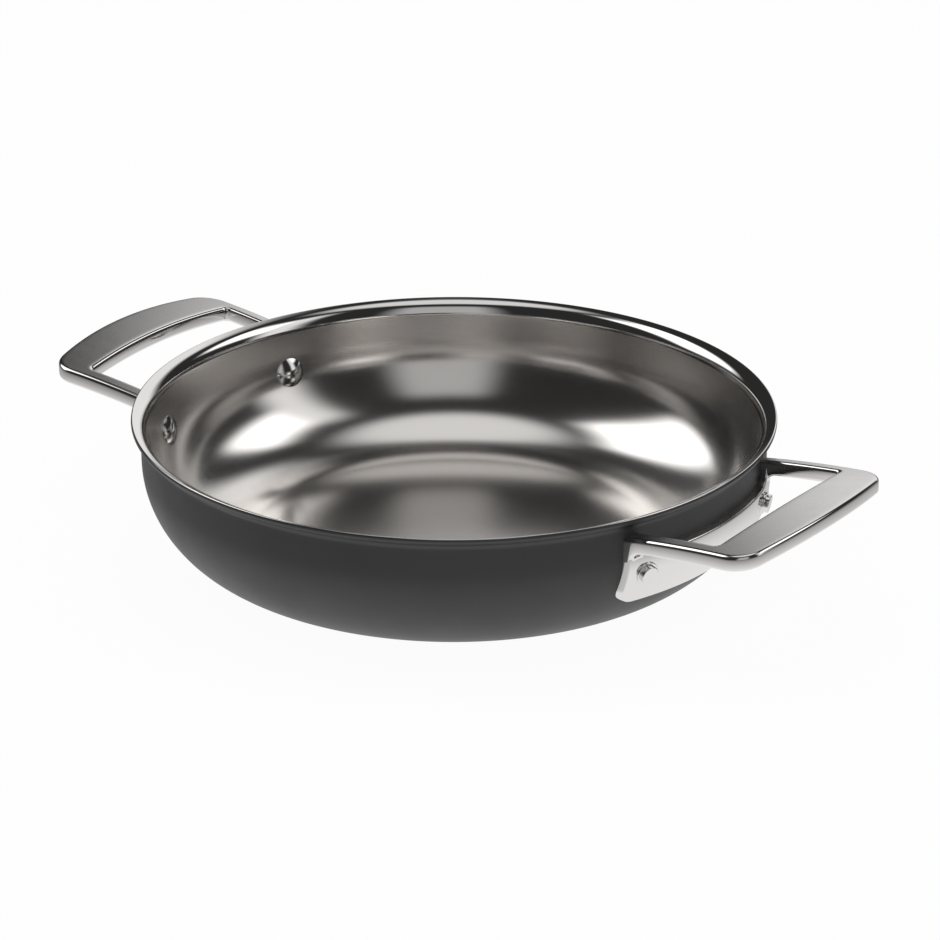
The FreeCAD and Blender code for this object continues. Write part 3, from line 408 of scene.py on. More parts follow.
def loop_height(handle, plan):
    """Height of the loop's top over its plan: the arc of an easing climb along X plus an arch across Y.

    The climb's radius is its reach / (sin(arm slope) - sin(grip slope)), so that it has the one slope at the
    wall and the other at the outer edge.
    """
    bowl = bpy.context.scene.braiser_bowl
    steep = math.sin(handle.arm_slope)
    climb = (handle.reach - bowl.wall_radius) / (steep - math.sin(handle.grip_slope))
    centre_x = bowl.wall_radius + climb * steep
    centre_z = bowl.height - handle.arm_drop - climb * math.cos(handle.arm_slope)
    arch = (handle.spread ** 2 + handle.arch ** 2) / (2.0 * handle.arch)
    rise = np.sqrt(arch ** 2 - plan[..., 1] ** 2) - (arch - handle.arch)
    return centre_z + np.sqrt(climb ** 2 - (plan[..., 0] - centre_x) ** 2) + rise


def loop_lanes(handle):
    """Half of the loop as lanes of points, walked round its section: over the top, down inside, back below.

    At the root the underside drops by (root + depth)(1 - sin t), with the t of the rows in lane.
    """
    top, under, root = handle.top_round, handle.under_round, handle.root_round
    theta = np.linspace(0.0, math.pi / 2.0, ROOT_ROWS)
    count = len(lane(handle, 0.0, False, 0.0))
    dip = np.zeros(count)
    dip[1:ROOT_ROWS + 1] = 1.0 - np.sin(theta)
    dip[0] = 1.0
    lanes = []

    def over(plan, lowered):
        lanes.append(np.column_stack([plan, loop_height(handle, plan) - lowered]))

    def below(plan, depth):
        height = loop_height(handle, plan) - handle.thick + depth - (root + depth) * dip
        lanes.append(np.column_stack([plan, height]))

    turns = np.linspace(0.0, math.pi / 2.0, TOP_LANES)
    for turn in turns:
        over(lane(handle, top * (1.0 - math.cos(turn)), False, 0.0), top * (1.0 - math.sin(turn)))
    outer, inner = lane(handle, top, False, 0.0), lane(handle, top, True, 0.0)
    for part in np.linspace(0.0, 1.0, FACE_LANES + 2)[1:-1]:
        over(outer + part * (inner - outer), 0.0)
    for turn in turns[::-1]:
        over(lane(handle, top * (1.0 - math.cos(turn)), True, 0.0), top * (1.0 - math.sin(turn)))
    turns = np.linspace(0.0, math.pi / 2.0, UNDER_LANES)
    for turn in turns:
        depth = under * (1.0 - math.sin(turn))
        below(lane(handle, under * (1.0 - math.cos(turn)), True, depth), depth)
    outer, inner = lane(handle, under, False, 0.0), lane(handle, under, True, 0.0)
    for part in np.linspace(1.0, 0.0, FACE_LANES + 2)[1:-1]:
        below(outer + part * (inner - outer), 0.0)
    for turn in turns[::-1]:
        depth = under * (1.0 - math.sin(turn))
        below(lane(handle, under * (1.0 - math.cos(turn)), False, depth), depth)
    lanes.append(lanes[0])
    return np.stack(lanes)


def loop_grids(handle):
    """The loop as two mirrored halves, each capped where it meets the wall."""
    half = loop_lanes(handle)
    ring = half[:, 0]
    middle = np.broadcast_to(ring.mean(axis=0), ring.shape)
    cap = np.stack([ring, middle])
    return [half, cap, half * (1, -1, 1), cap * (1, -1, 1)]


# ---------------------------------------------------------------- the flange
# Points up and along the flange, then round its front edge.
SIDE_ROWS, FLANGE_COLUMNS, ROUND_STEPS = 26, 120, 7
# Steps round a foot corner and a hollow, and along the flat end above each.
CORNER_STEPS, HOLLOW_STEPS, END_STEPS = 12, 14, 6
# The flange ends this far under the rounded edge of the arms.
TOP_MARGIN = 0.0002


def flange_plan(handle, inset):
    """The flange seen along X, as a grid of (y, z) between its lower and its upper edge, less an inset.

    The lower edge is a line with a round corner at each end. The upper edge is flat under each arm and
    sweeps down in a hollow round to the notch. Rows in between share the distance between the two edges.
    """
    bowl = bpy.context.scene.braiser_bowl
    foot = bowl.height - handle.foot_drop
    notch = bowl.height - handle.notch_drop
    start = math.sqrt(bowl.wall_radius ** 2 - handle.spread ** 2)
    top = bowl.height - handle.arm_drop - handle.top_round
    top -= (bowl.wall_radius - start) * math.tan(handle.arm_slope) + TOP_MARGIN
    spread = handle.spread
    inner = spread - handle.arm_width
    hollow = top - notch
    corner = handle.foot_corner
    centre = (spread - corner, foot + corner)
    sweep = (inner - hollow, top)
    rest = FLANGE_COLUMNS - 2 * CORNER_STEPS
    lower = joined(
        arc((-centre[0], centre[1]), corner - inset, 180.0, 270.0, CORNER_STEPS),
        straight((-centre[0], foot + inset), (centre[0], foot + inset), rest),
        arc(centre, corner - inset, 270.0, 360.0, CORNER_STEPS),
    )
    rest = FLANGE_COLUMNS - 2 * (END_STEPS + HOLLOW_STEPS)
    upper = joined(
        straight((inset - spread, top), (-inner - inset, top), END_STEPS),
        arc((-sweep[0], top), hollow + inset, 180.0, 270.0, HOLLOW_STEPS),
        straight((-sweep[0], notch - inset), (sweep[0], notch - inset), rest),
        arc(sweep, hollow + inset, 270.0, 360.0, HOLLOW_STEPS),
        straight((inner + inset, top), (spread - inset, top), END_STEPS),
    )
    part = np.linspace(0.0, 1.0, SIDE_ROWS)[:, None, None]
    return lower + part * (upper - lower)


def on_wall(plan, depth):
    """Points (x, y, z) over a plan of (y, z), at a distance outside the wall and the knuckle."""
    bowl = bpy.context.scene.braiser_bowl
    radius = wall_radius_at(bowl, plan[..., 1], -depth)
    out = np.sqrt(radius ** 2 - plan[..., 0] ** 2)
    return np.dstack([out, plan[..., 0], plan[..., 1]])


def rim_of(grid):
    """The outer points of a grid, walked round once and closed."""
    return np.concatenate([grid[0], grid[1:, -1], grid[-1, -2::-1], grid[-2::-1, 0]])


def flange_grids(handle):
    """The flange: its front, its back, and the rounded edge between them, as rings of its growing outline."""
    back = handle.seat_gap
    face = back + handle.flange
    size = handle.flange_round
    front = on_wall(flange_plan(handle, size), face)
    behind = on_wall(flange_plan(handle, 0.0), back)
    rings = [rim_of(front)]
    for turn in np.linspace(math.pi / 2.0, 0.0, ROUND_STEPS)[1:]:
        plan = flange_plan(handle, size * (1.0 - math.cos(turn)))
        rings.append(rim_of(on_wall(plan, face - size * (1.0 - math.sin(turn)))))
    rings.append(rim_of(behind))
    return [front, behind, np.stack(rings)]


# ---------------------------------------------------------------- rivets and washers
SMALL_SEGMENTS = 64
# Steps over the dome, round a rim, and across the tail.
DOME_STEPS, RIM_STEPS, TAIL_STEPS = 24, 8, 6
# How far the spot face reaches past the washer, and how far the head is sunk into the curved wall.
SPOT_MARGIN = 0.0002
HEAD_SEAT = 0.0004


def rivet_seat(side, end):
    """Centre of a rivet on the cooking surface, and the wall's outward normal there."""
    bowl = bpy.context.scene.braiser_bowl
    rivet = bpy.context.scene.braiser_rivet
    wall = bowl.liner + bowl.core + bowl.skin
    height = bowl.height - rivet.drop
    below = max(0.0, bowl.knuckle - height)
    tilt = math.asin(below / (bowl.knuckle - wall))
    radius = bowl.wall_radius - bowl.knuckle + (bowl.knuckle - wall) * math.cos(tilt)
    turn = ENDS[end] * rivet.turn
    across = np.array([SIDES[side] * math.cos(turn), math.sin(turn), 0.0])
    out = across * math.cos(tilt) - np.array([0.0, 0.0, math.sin(tilt)])
    return across * radius + np.array([0.0, 0.0, height]), out


def washer_seat():
    """Distance from the cooking surface to the flat that the washer sits on, along the rivet.

    It is the flange's face less the sag of the knuckle over the spot face, less the spot face's depth.
    """
    bowl = bpy.context.scene.braiser_bowl
    handle = bpy.context.scene.braiser_handle
    rivet = bpy.context.scene.braiser_rivet
    face = bowl.liner + bowl.core + bowl.skin + handle.seat_gap + handle.flange
    bend = bowl.knuckle + handle.seat_gap + handle.flange
    sag = bend - math.sqrt(bend ** 2 - (rivet.washer / 2.0 + SPOT_MARGIN) ** 2)
    return face - sag - rivet.spot_depth


def placed(section, side, end):
    """A section of (radius, distance along the rivet) turned about a rivet's own axis."""
    foot, out = rivet_seat(side, end)
    across = np.cross(out, (0.0, 0.0, 1.0))
    across /= np.linalg.norm(across)
    up = np.cross(out, across)
    points = turned(section, SMALL_SEGMENTS)
    return foot + points @ np.stack([across, up, out])


def rivet_section(rivet, tail_seat):
    """Dome, straight edge, shank, and the flat tail with its rounded rim.

    The dome's radius is (half width squared + rise squared) / (twice the rise).
    """
    head = rivet.head / 2.0
    ball = (head ** 2 + rivet.head_rise ** 2) / (2.0 * rivet.head_rise)
    reach = math.degrees(math.asin(head / ball))
    centre = (0.0, ball - rivet.head_edge - rivet.head_rise)
    shank = rivet.shank / 2.0
    tail = rivet.tail / 2.0
    top = tail_seat + rivet.tail_length
    rim = rivet.tail_round
    return joined(
        arc(centre, ball, -90.0, -90.0 + reach, DOME_STEPS),
        straight((head, -rivet.head_edge), (head, HEAD_SEAT)),
        straight((head, HEAD_SEAT), (shank, HEAD_SEAT)),
        straight((shank, HEAD_SEAT), (shank, tail_seat)),
        straight((shank, tail_seat), (tail, tail_seat)),
        straight((tail, tail_seat), (tail, top - rim)),
        arc((tail - rim, top - rim), rim, 0.0, 90.0, RIM_STEPS),
        straight((tail - rim, top), (0.0, top), TAIL_STEPS),
    )


def washer_section(rivet, seat):
    """A flat ring with a rounded rim."""
    inner = rivet.shank / 2.0 + rivet.washer_gap
    outer = rivet.washer / 2.0
    top = seat + rivet.washer_thick
    rim = rivet.washer_round
    return joined(
        straight((inner, seat), (outer, seat)),
        straight((outer, seat), (outer, top - rim)),
        arc((outer - rim, top - rim), rim, 0.0, 90.0, RIM_STEPS),
        straight((outer - rim, top), (inner, top)),
        straight((inner, top), (inner, seat)),
    )


# ---------------------------------------------------------------- materials
# Sizes of the patterns, in metres. The marks of buffing, blasting and rolling are finer than the picture can
# show, so they are drawn as coarse as this.
BUFFED_RING, BLASTED_GRAIN, ROLLED_GRAIN = 0.0008, 0.0005, 0.001
SATIN_CLOUD, ANODISED_CLOUD, POLISHED_CLOUD = 0.012, 0.03, 0.006
# The rings of the satin change this much, as a length, over a radian of the bowl.
RING_RUN = 0.0012
# Strength and depth of the bumps of the rings and of the blasted grain.
RING_BUMP = (0.008, 0.00002)
GRAIN_BUMP = (0.1, 0.00003)
# Nearly all of a noise lies between these values.
NOISE_LOW, NOISE_HIGH = 0.3, 0.7
# How far the roughness of each finish wanders from its own value.
SATIN_SPREAD, ANODISED_SPREAD, POLISHED_SPREAD = 0.015, 0.03, (-0.015, 0.02)
ROLLED_ROUGHNESS = (0.35, 0.5)
# Half the width of the boundary between the satin and the polished lip.
MASK_EDGE = 0.0002
# The gloss goes over from the floor's to the wall's between these heights from the top of the knuckle.
GLOSS_CHANGE = (-0.012, 0.004)
# A face of a handle starts to be brushed, and is all brushed, at these cosines of its angle to straight up.
BRUSHED_FACES = (0.94, 0.985)
WHITE = "ffffff"


def linear(colour):
    """Linear RGBA of an sRGB colour given as six hex digits."""
    srgb = [int(colour[at:at + 2], 16) / 255.0 for at in (0, 2, 4)]
    rgb = [part / 12.92 if part <= 0.04045 else ((part + 0.055) / 1.055) ** 2.4 for part in srgb]
    return (*rgb, 1.0)


def add_node(tree, kind, inputs=None, **settings):
    """Adds one node. Settings are its own properties.

    An input is a value, the socket that feeds it, or a node whose first output feeds it.
    """
    node = tree.nodes.new(kind)
    for name, value in settings.items():
        setattr(node, name, value)
    for name, value in (inputs or {}).items():
        if isinstance(value, bpy.types.Node):
            value = value.outputs[0]
        if isinstance(value, bpy.types.NodeSocket):
            tree.links.new(value, node.inputs[name])
        else:
            node.inputs[name].default_value = value
    return node


def new_material(name):
    """An empty material and its node tree."""
    material = bpy.data.materials.new(name)
    material.use_nodes = True
    material.node_tree.nodes.clear()
    return material, material.node_tree


def finished(material, shader):
    """The material, with its shader wired to its output."""
    add_node(material.node_tree, "ShaderNodeOutputMaterial", {"Surface": shader})
    return material


def spun_coordinates(tree):
    """Coordinates of a turned surface, from the object's own: (radius, height, a little of the direction).

    A noise over them is drawn out into rings, as the marks of a disc that the bowl was spun against. The
    height is given by itself as well.
    """
    place = add_node(tree, "ShaderNodeTexCoord").outputs["Object"]
    split = add_node(tree, "ShaderNodeSeparateXYZ", {0: place})
    height = split.outputs[2]
    flat = add_node(tree, "ShaderNodeCombineXYZ", {0: split.outputs[0], 1: split.outputs[1]})
    radius = add_node(tree, "ShaderNodeVectorMath", {0: flat}, operation="LENGTH").outputs["Value"]
    unit = add_node(tree, "ShaderNodeVectorMath", {0: flat}, operation="NORMALIZE")
    ringed = add_node(tree, "ShaderNodeCombineXYZ", {0: radius, 2: height})
    around = add_node(tree, "ShaderNodeVectorMath", {0: unit, "Scale": RING_RUN}, operation="SCALE")
    return add_node(tree, "ShaderNodeVectorMath", {0: ringed, 1: around}, operation="ADD"), height


def satin_steel(finish, bowl):
    """Clad 18/10 stainless, buffed to a satin on a turning table, with its flared lip polished bright.

    The satin blurs what it mirrors, most on the upright wall, and carries faint rings. The lip mirrors
    sharply. The boundary between them lies a fixed depth below the rim and is as crisp as a masking edge.
    """
    material, tree = new_material("satin_stainless_steel")
    ringed, height = spun_coordinates(tree)
    rings = add_node(tree, "ShaderNodeTexNoise", {
        "Vector": ringed, "Scale": 1.0 / BUFFED_RING, "Detail": 3.0,
    })
    clouds = add_node(tree, "ShaderNodeTexNoise", {
        "Vector": ringed, "Scale": 1.0 / SATIN_CLOUD, "Detail": 2.0,
    })
    edge = bowl.height - bowl.polish_drop
    lip = add_node(tree, "ShaderNodeMapRange", {
        "Value": height, "From Min": edge - MASK_EDGE, "From Max": edge + MASK_EDGE,
    }, interpolation_type="SMOOTHSTEP")
    marks = add_node(tree, "ShaderNodeMath", {0: rings, 1: clouds}, operation="ADD")
    marks = add_node(tree, "ShaderNodeMapRange", {
        "Value": marks, "From Min": 2.0 * NOISE_LOW, "From Max": 2.0 * NOISE_HIGH,
        "To Min": -SATIN_SPREAD, "To Max": SATIN_SPREAD,
    })
    level = add_node(tree, "ShaderNodeMapRange", {
        "Value": height,
        "From Min": bowl.knuckle + GLOSS_CHANGE[0], "From Max": bowl.knuckle + GLOSS_CHANGE[1],
        "To Min": finish.satin_roughness, "To Max": finish.wall_roughness,
    }, interpolation_type="SMOOTHSTEP")
    rough = add_node(tree, "ShaderNodeMath", {0: level, 1: marks}, operation="ADD")
    rough = add_node(tree, "ShaderNodeMix", {0: lip, 2: rough, 3: finish.polish_roughness}, data_type="FLOAT")
    colour = add_node(tree, "ShaderNodeMix", {
        0: lip, 6: linear(finish.satin), 7: linear(finish.polish),
    }, data_type="RGBA").outputs[2]
    strength = add_node(tree, "ShaderNodeMapRange", {"Value": lip, "To Min": RING_BUMP[0], "To Max": 0.0})
    bump = add_node(tree, "ShaderNodeBump", {"Height": rings, "Strength": strength, "Distance": RING_BUMP[1]})
    return finished(material, add_node(tree, "ShaderNodeBsdfPrincipled", {
        "Base Color": colour, "Metallic": 1.0, "Roughness": rough, "Normal": bump,
    }))


def anodised_aluminium(finish):
    """Aluminium with a thick, hard, dyed-dark oxide: near black, matt, with a broad soft sheen.

    The oxide is a clear ceramic over metal, so the shader is a dark dielectric that mirrors more than most.
    The grain of the blasted metal roughens the sheen.
    """
    material, tree = new_material("hard_anodised_aluminium")
    place = add_node(tree, "ShaderNodeTexCoord").outputs["Object"]
    grain = add_node(tree, "ShaderNodeTexNoise", {
        "Vector": place, "Scale": 1.0 / BLASTED_GRAIN, "Detail": 2.0,
    })
    clouds = add_node(tree, "ShaderNodeTexNoise", {
        "Vector": place, "Scale": 1.0 / ANODISED_CLOUD, "Detail": 3.0,
    })
    rough = add_node(tree, "ShaderNodeMapRange", {
        "Value": clouds, "From Min": NOISE_LOW, "From Max": NOISE_HIGH,
        "To Min": finish.anodised_roughness - ANODISED_SPREAD,
        "To Max": finish.anodised_roughness + ANODISED_SPREAD,
    })
    bump = add_node(tree, "ShaderNodeBump", {
        "Height": grain, "Strength": GRAIN_BUMP[0], "Distance": GRAIN_BUMP[1],
    })
    return finished(material, add_node(tree, "ShaderNodeBsdfPrincipled", {
        "Base Color": linear(finish.anodised), "Metallic": 0.0, "Roughness": rough,
        "Specular IOR Level": finish.anodised_mirror, "Normal": bump,
    }))


def polished_steel(finish, name, top_roughness):
    """Cast or headed stainless, tumbled and mirror polished: bright, with a slight cloudiness of the gloss.

    Faces that look straight up have a gloss of their own: a handle's top is brushed after the polishing.
    """
    material, tree = new_material(name)
    place = add_node(tree, "ShaderNodeTexCoord")
    clouds = add_node(tree, "ShaderNodeTexNoise", {
        "Vector": place.outputs["Object"], "Scale": 1.0 / POLISHED_CLOUD, "Detail": 4.0,
    })
    upward = add_node(tree, "ShaderNodeSeparateXYZ", {0: place.outputs["Normal"]}).outputs[2]
    level = add_node(tree, "ShaderNodeMapRange", {
        "Value": upward, "From Min": BRUSHED_FACES[0], "From Max": BRUSHED_FACES[1],
        "To Min": finish.polish_roughness, "To Max": top_roughness,
    }, interpolation_type="SMOOTHSTEP")
    marks = add_node(tree, "ShaderNodeMapRange", {
        "Value": clouds, "From Min": NOISE_LOW, "From Max": NOISE_HIGH,
        "To Min": POLISHED_SPREAD[0], "To Max": POLISHED_SPREAD[1],
    })
    rough = add_node(tree, "ShaderNodeMath", {0: level, 1: marks}, operation="ADD")
    return finished(material, add_node(tree, "ShaderNodeBsdfPrincipled", {
        "Base Color": linear(finish.polish), "Metallic": 1.0, "Roughness": rough,
    }))


def bare_aluminium(finish):
    """Rolled aluminium sheet as it comes from the mill: light, dull, with a faint grain."""
    material, tree = new_material("bare_aluminium")
    place = add_node(tree, "ShaderNodeTexCoord").outputs["Object"]
    grain = add_node(tree, "ShaderNodeTexNoise", {
        "Vector": place, "Scale": 1.0 / ROLLED_GRAIN, "Detail": 2.0,
    })
    rough = add_node(tree, "ShaderNodeMapRange", {
        "Value": grain, "To Min": ROLLED_ROUGHNESS[0], "To Max": ROLLED_ROUGHNESS[1],
    })
    return finished(material, add_node(tree, "ShaderNodeBsdfPrincipled", {
        "Base Color": linear(finish.aluminium), "Metallic": 1.0, "Roughness": rough,
    }))


# ---------------------------------------------------------------- operators
class BuildBowl(bpy.types.Operator):
    """Turns the liner and the anodised skin, and gives the core between them its metal."""

    bl_idname = "braiser.build_bowl"
    bl_label = "Bowl"

    def execute(self, context):
        bowl = context.scene.braiser_bowl
        finish = context.scene.braiser_finish
        liner = closed_mesh("liner", [turned(liner_section(bowl), bowl.segments)])
        add_piece(liner, satin_steel(finish, bowl), "inner_liner")
        skin = closed_mesh("skin", [turned(skin_section(bowl), bowl.segments)])
        add_piece(skin, anodised_aluminium(finish), "outer_skin")
        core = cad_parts["aluminium_core"]
        core.data.materials.clear()
        core.data.materials.append(bare_aluminium(finish))
        return {"FINISHED"}


class BuildHandles(bpy.types.Operator):
    """Builds both loop handles, each cast in one with its flange."""

    bl_idname = "braiser.build_handles"
    bl_label = "Handles"

    def execute(self, context):
        handle = context.scene.braiser_handle
        finish = context.scene.braiser_finish
        metal = polished_steel(finish, "polished_cast_stainless", finish.brushed_roughness)
        grids = loop_grids(handle) + flange_grids(handle)
        for side, sign in SIDES.items():
            mesh = closed_mesh("loop_handle_" + side, [grid * (sign, 1, 1) for grid in grids])
            add_piece(mesh, metal, "handle_" + side)
        return {"FINISHED"}


class BuildRivets(bpy.types.Operator):
    """Builds the four rivets and the washers under their tails."""

    bl_idname = "braiser.build_rivets"
    bl_label = "Rivets and washers"

    def execute(self, context):
        rivet = context.scene.braiser_rivet
        finish = context.scene.braiser_finish
        metal = polished_steel(finish, "polished_rivet_stainless", finish.polish_roughness)
        seat = washer_seat()
        body = rivet_section(rivet, seat + rivet.washer_thick)
        ring = washer_section(rivet, seat)
        for side in SIDES:
            for end in ENDS:
                for form, kind, section in (("domed", "rivet", body), ("flat", "washer", ring)):
                    node = "%s_%s_%s" % (kind, side, end)
                    mesh = closed_mesh(form + "_" + node, [placed(section, side, end)])
                    add_piece(mesh, metal, node)
        return {"FINISHED"}


class BuildStage(bpy.types.Operator):
    """Sets the floor, the soft lights and the camera."""

    bl_idname = "braiser.build_stage"
    bl_label = "Stage"

    def execute(self, context):
        stage = context.scene.braiser_stage
        add_floor(stage)
        add_world(context.scene, stage)
        add_overhead(stage)
        add_camera(context.scene, stage)
        context.scene.view_settings.view_transform = "Standard"
        return {"FINISHED"}


# ---------------------------------------------------------------- the stage
FLOOR_EDGES = 96
# How much of the floor's white, to the eye and in the metal, is its own and takes no shadow.
FLOOR_GLOW = 0.96
# The mirrored floor: the sines between which it brightens, and its brightness at each.
SHEEN = (0.2, 0.62, 0.22, 1.05)
# Light panels of the studio. Edges in degrees: left and right of the camera's own direction, then lowest and
# highest over the horizon; then half the width of the soft edge, the brightness, and the lean of the right
# edge, which is its turn for each degree of height.
PANELS = (
    ("left softbox", -129.0, -88.5, 14.0, 57.0, 7.0, 2.3, 0.39),
    ("right softbox", 80.0, 116.0, 28.0, 52.0, 6.0, 2.0, 0.0),
    ("right wall", 62.0, 80.0, -8.0, 56.0, 7.0, 1.0, 0.0),
    ("camera wall", -15.0, 24.0, -15.0, 50.0, 8.0, 0.5, 0.0),
    ("back wall", 144.0, 180.0, 2.0, 48.0, 8.0, 1.0, 0.0),
)
ROOM_LEVEL = 0.03
# The ceiling is a round cap: its lean towards the back, its radius and soft edge in degrees, its brightness.
CEILING = (4.0, 21.0, 6.0, 0.87)
# The camera's sensor in millimetres, and the distances in metres between which it sees.
SENSOR_WIDTH = 36.0
NEAREST, FARTHEST = 0.05, 50.0


def add_floor(stage):
    """A round white floor, which the pan's base rests on.

    To the eye it is plain white with a faint shadow. In the metal its brightness is a smooth step over the
    sine of the angle at which the mirrored ray meets it, so that it darkens towards the horizon. Facing is
    one less that sine.
    """
    ring = arc((0.0, 0.0), stage.floor_radius, 0.0, 360.0, FLOOR_EDGES)[:-1]
    points = np.column_stack([ring, np.zeros(len(ring))])
    mesh = bpy.data.meshes.new("floor")
    mesh.from_pydata(points, [], [list(range(len(ring)))])
    floor = bpy.data.objects.new("floor", mesh)
    bpy.context.scene.collection.objects.link(floor)
    material, tree = new_material("white_studio_floor")
    facing = add_node(tree, "ShaderNodeLayerWeight").outputs["Facing"]
    low, high, dim, bright = SHEEN
    mirrored = add_node(tree, "ShaderNodeMapRange", {
        "Value": facing, "From Min": 1.0 - low, "From Max": 1.0 - high, "To Min": dim, "To Max": bright,
    }, interpolation_type="SMOOTHSTEP")
    path = add_node(tree, "ShaderNodeLightPath")
    strength = add_node(tree, "ShaderNodeMix", {
        0: path.outputs["Is Glossy Ray"], 2: 1.0, 3: mirrored,
    }, data_type="FLOAT")
    seen = 0.0
    for ray in ("Is Camera Ray", "Is Glossy Ray", "Is Transmission Ray"):
        seen = add_node(tree, "ShaderNodeMath", {0: seen, 1: path.outputs[ray]}, operation="MAXIMUM")
    seen = add_node(tree, "ShaderNodeMath", {0: seen, 1: FLOOR_GLOW}, operation="MULTIPLY")
    matt = add_node(tree, "ShaderNodeBsdfDiffuse", {"Color": linear(stage.floor_colour)})
    glow = add_node(tree, "ShaderNodeEmission", {"Color": linear(WHITE), "Strength": strength})
    mixed = add_node(tree, "ShaderNodeMixShader", {0: seen, 1: matt, 2: glow})
    mesh.materials.append(finished(material, mixed))


def panel_light(tree, direction, edges, level, lean):
    """Brightness of one panel in a direction of (turn, height): its level times three smooth steps.

    One step is over the turn from its middle, and one at each of its lower and upper edges. Each scales the
    light that the step before it gives. A lean of the right edge moves the middle and widens the half by the
    same shift, lean / 2 for each radian over the middle height.
    """
    turn, height = direction
    left, right, low, high, soft = edges
    half = (right - left) / 2.0
    shift = add_node(tree, "ShaderNodeMath", {0: height, 1: (low + high) / 2.0}, operation="SUBTRACT")
    shift = add_node(tree, "ShaderNodeMath", {0: shift, 1: lean / 2.0}, operation="MULTIPLY")
    off = add_node(tree, "ShaderNodeMath", {0: turn, 1: (left + right) / 2.0}, operation="SUBTRACT")
    off = add_node(tree, "ShaderNodeMath", {0: off, 1: shift}, operation="SUBTRACT")
    off = add_node(tree, "ShaderNodeMath", {0: off, 1: math.pi, 2: -math.pi}, operation="WRAP")
    off = add_node(tree, "ShaderNodeMath", {0: off}, operation="ABSOLUTE")
    off = add_node(tree, "ShaderNodeMath", {0: off, 1: shift}, operation="SUBTRACT")
    light = level
    for value, edge, inwards in ((off, half, -soft), (height, low, soft), (height, high, -soft)):
        light = add_node(tree, "ShaderNodeMapRange", {
            "Value": value, "From Min": edge - inwards, "From Max": edge + inwards, "To Max": light,
        }, interpolation_type="SMOOTHSTEP")
    return light


def add_world(scene, stage):
    """A studio as a function of direction: a dark room, a pale ceiling and soft-edged panels of light.

    Turn is the arctangent of x over -y, and height the arcsine of z. The ceiling is a smooth step over the
    angle from its own axis. To the eye the world is plain white.
    """
    world = bpy.data.worlds.new("studio")
    world.use_nodes = True
    scene.world = world
    tree = world.node_tree
    tree.nodes.clear()
    place = add_node(tree, "ShaderNodeTexCoord").outputs["Generated"]
    split = add_node(tree, "ShaderNodeSeparateXYZ", {0: place})
    front = add_node(tree, "ShaderNodeMath", {0: split.outputs[1], 1: -1.0}, operation="MULTIPLY")
    turn = add_node(tree, "ShaderNodeMath", {0: split.outputs[0], 1: front}, operation="ARCTAN2")
    turn = add_node(tree, "ShaderNodeMath", {0: turn, 1: stage.azimuth}, operation="SUBTRACT")
    height = add_node(tree, "ShaderNodeMath", {0: split.outputs[2]}, operation="ARCSINE")

    lean, radius, soft = np.radians(CEILING[:3])
    axis = Vector((0.0, math.sin(lean), math.cos(lean)))
    axis.rotate(Euler((0.0, 0.0, stage.azimuth)))
    near = add_node(tree, "ShaderNodeVectorMath", {0: place, 1: axis}, operation="DOT_PRODUCT")
    away = add_node(tree, "ShaderNodeMath", {0: near.outputs["Value"]}, operation="ARCCOSINE")
    light = add_node(tree, "ShaderNodeMapRange", {
        "Value": away, "From Min": radius + soft, "From Max": radius - soft,
        "To Min": ROOM_LEVEL, "To Max": ROOM_LEVEL + CEILING[3],
    }, interpolation_type="SMOOTHSTEP")
    for label, *edges, level, panel_lean in PANELS:
        panel = panel_light(tree, (turn, height), np.radians(edges), level, panel_lean)
        light = add_node(tree, "ShaderNodeMath", {0: light, 1: panel}, operation="ADD", label=label)
    studio = add_node(tree, "ShaderNodeBackground", {"Color": linear(WHITE), "Strength": light})
    white = add_node(tree, "ShaderNodeBackground", {"Color": linear(WHITE), "Strength": 1.0})
    eye = add_node(tree, "ShaderNodeLightPath").outputs["Is Camera Ray"]
    mixed = add_node(tree, "ShaderNodeMixShader", {0: eye, 1: studio, 2: white})
    add_node(tree, "ShaderNodeOutputWorld", {"Surface": mixed})


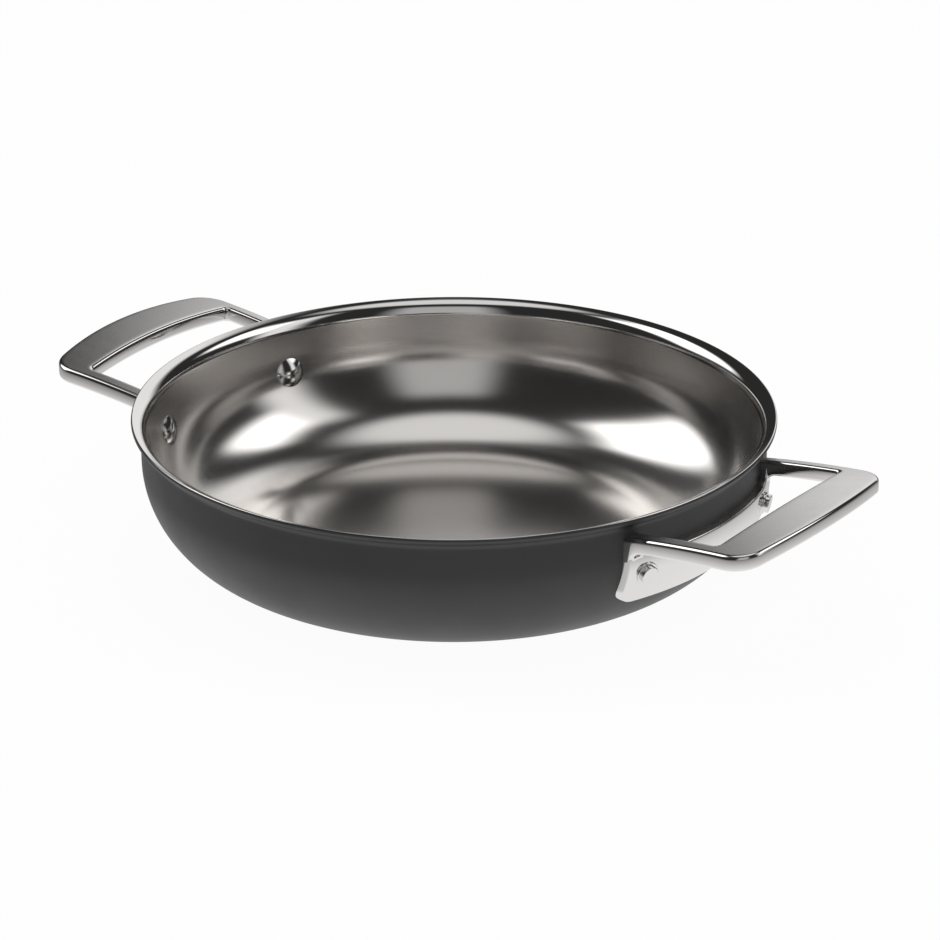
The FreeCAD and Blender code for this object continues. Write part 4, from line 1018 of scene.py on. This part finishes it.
def add_overhead(stage):
    """A wide soft lamp over the pan. It lights floor and pan evenly, and the metal doesn't mirror it."""
    lamp = bpy.data.lights.new("overhead", "AREA")
    lamp.shape = "DISK"
    lamp.size = stage.overhead_size
    lamp.energy = stage.overhead_power
    holder = bpy.data.objects.new("overhead", lamp)
    bpy.context.scene.collection.objects.link(holder)
    holder.location = (0.0, 0.0, stage.overhead_height)
    holder.visible_camera = False
    holder.visible_glossy = False


def add_camera(scene, stage):
    """The camera. It looks back along (sin a cos e, -cos a cos e, sin e), with azimuth a and elevation e."""
    data = bpy.data.cameras.new("camera")
    data.sensor_width = SENSOR_WIDTH
    data.lens = stage.lens
    data.clip_start = NEAREST
    data.clip_end = FARTHEST
    camera = bpy.data.objects.new("camera", data)
    scene.collection.objects.link(camera)
    back = Vector((
        math.sin(stage.azimuth) * math.cos(stage.elevation),
        -math.cos(stage.azimuth) * math.cos(stage.elevation),
        math.sin(stage.elevation),
    ))
    camera.location = (stage.camera_x, stage.camera_y, stage.camera_z)
    camera.rotation_euler = (-back).to_track_quat("-Z", "Y").to_euler()
    scene.camera = camera


# ---------------------------------------------------------------- the add-on
class BraiserPanel(bpy.types.Panel):
    """Lists the settings of the braiser and the steps that build it."""

    bl_idname = "VIEW3D_PT_braiser"
    bl_label = "Braiser"
    bl_space_type = "VIEW_3D"
    bl_region_type = "UI"
    bl_category = "Braiser"

    def draw(self, context):
        for operator in OPERATORS:
            self.layout.operator(operator.bl_idname)
        for name, group in GROUPS.items():
            box = self.layout.box()
            box.label(text=group.__doc__.split(".")[0])
            for setting in group.__annotations__:
                box.prop(getattr(context.scene, name), setting)


OPERATORS = (BuildBowl, BuildHandles, BuildRivets, BuildStage)
CLASSES = (*GROUPS.values(), *OPERATORS, BraiserPanel)


def register():
    for item in CLASSES:
        bpy.utils.register_class(item)
    for name, group in GROUPS.items():
        setattr(bpy.types.Scene, name, PointerProperty(type=group))


def unregister():
    for name in GROUPS:
        delattr(bpy.types.Scene, name)
    for item in reversed(CLASSES):
        bpy.utils.unregister_class(item)


def main():
    register()
    bpy.ops.braiser.build_bowl()
    bpy.ops.braiser.build_handles()
    bpy.ops.braiser.build_rivets()
    bpy.ops.braiser.build_stage()


if __name__ == "__main__":
    main()
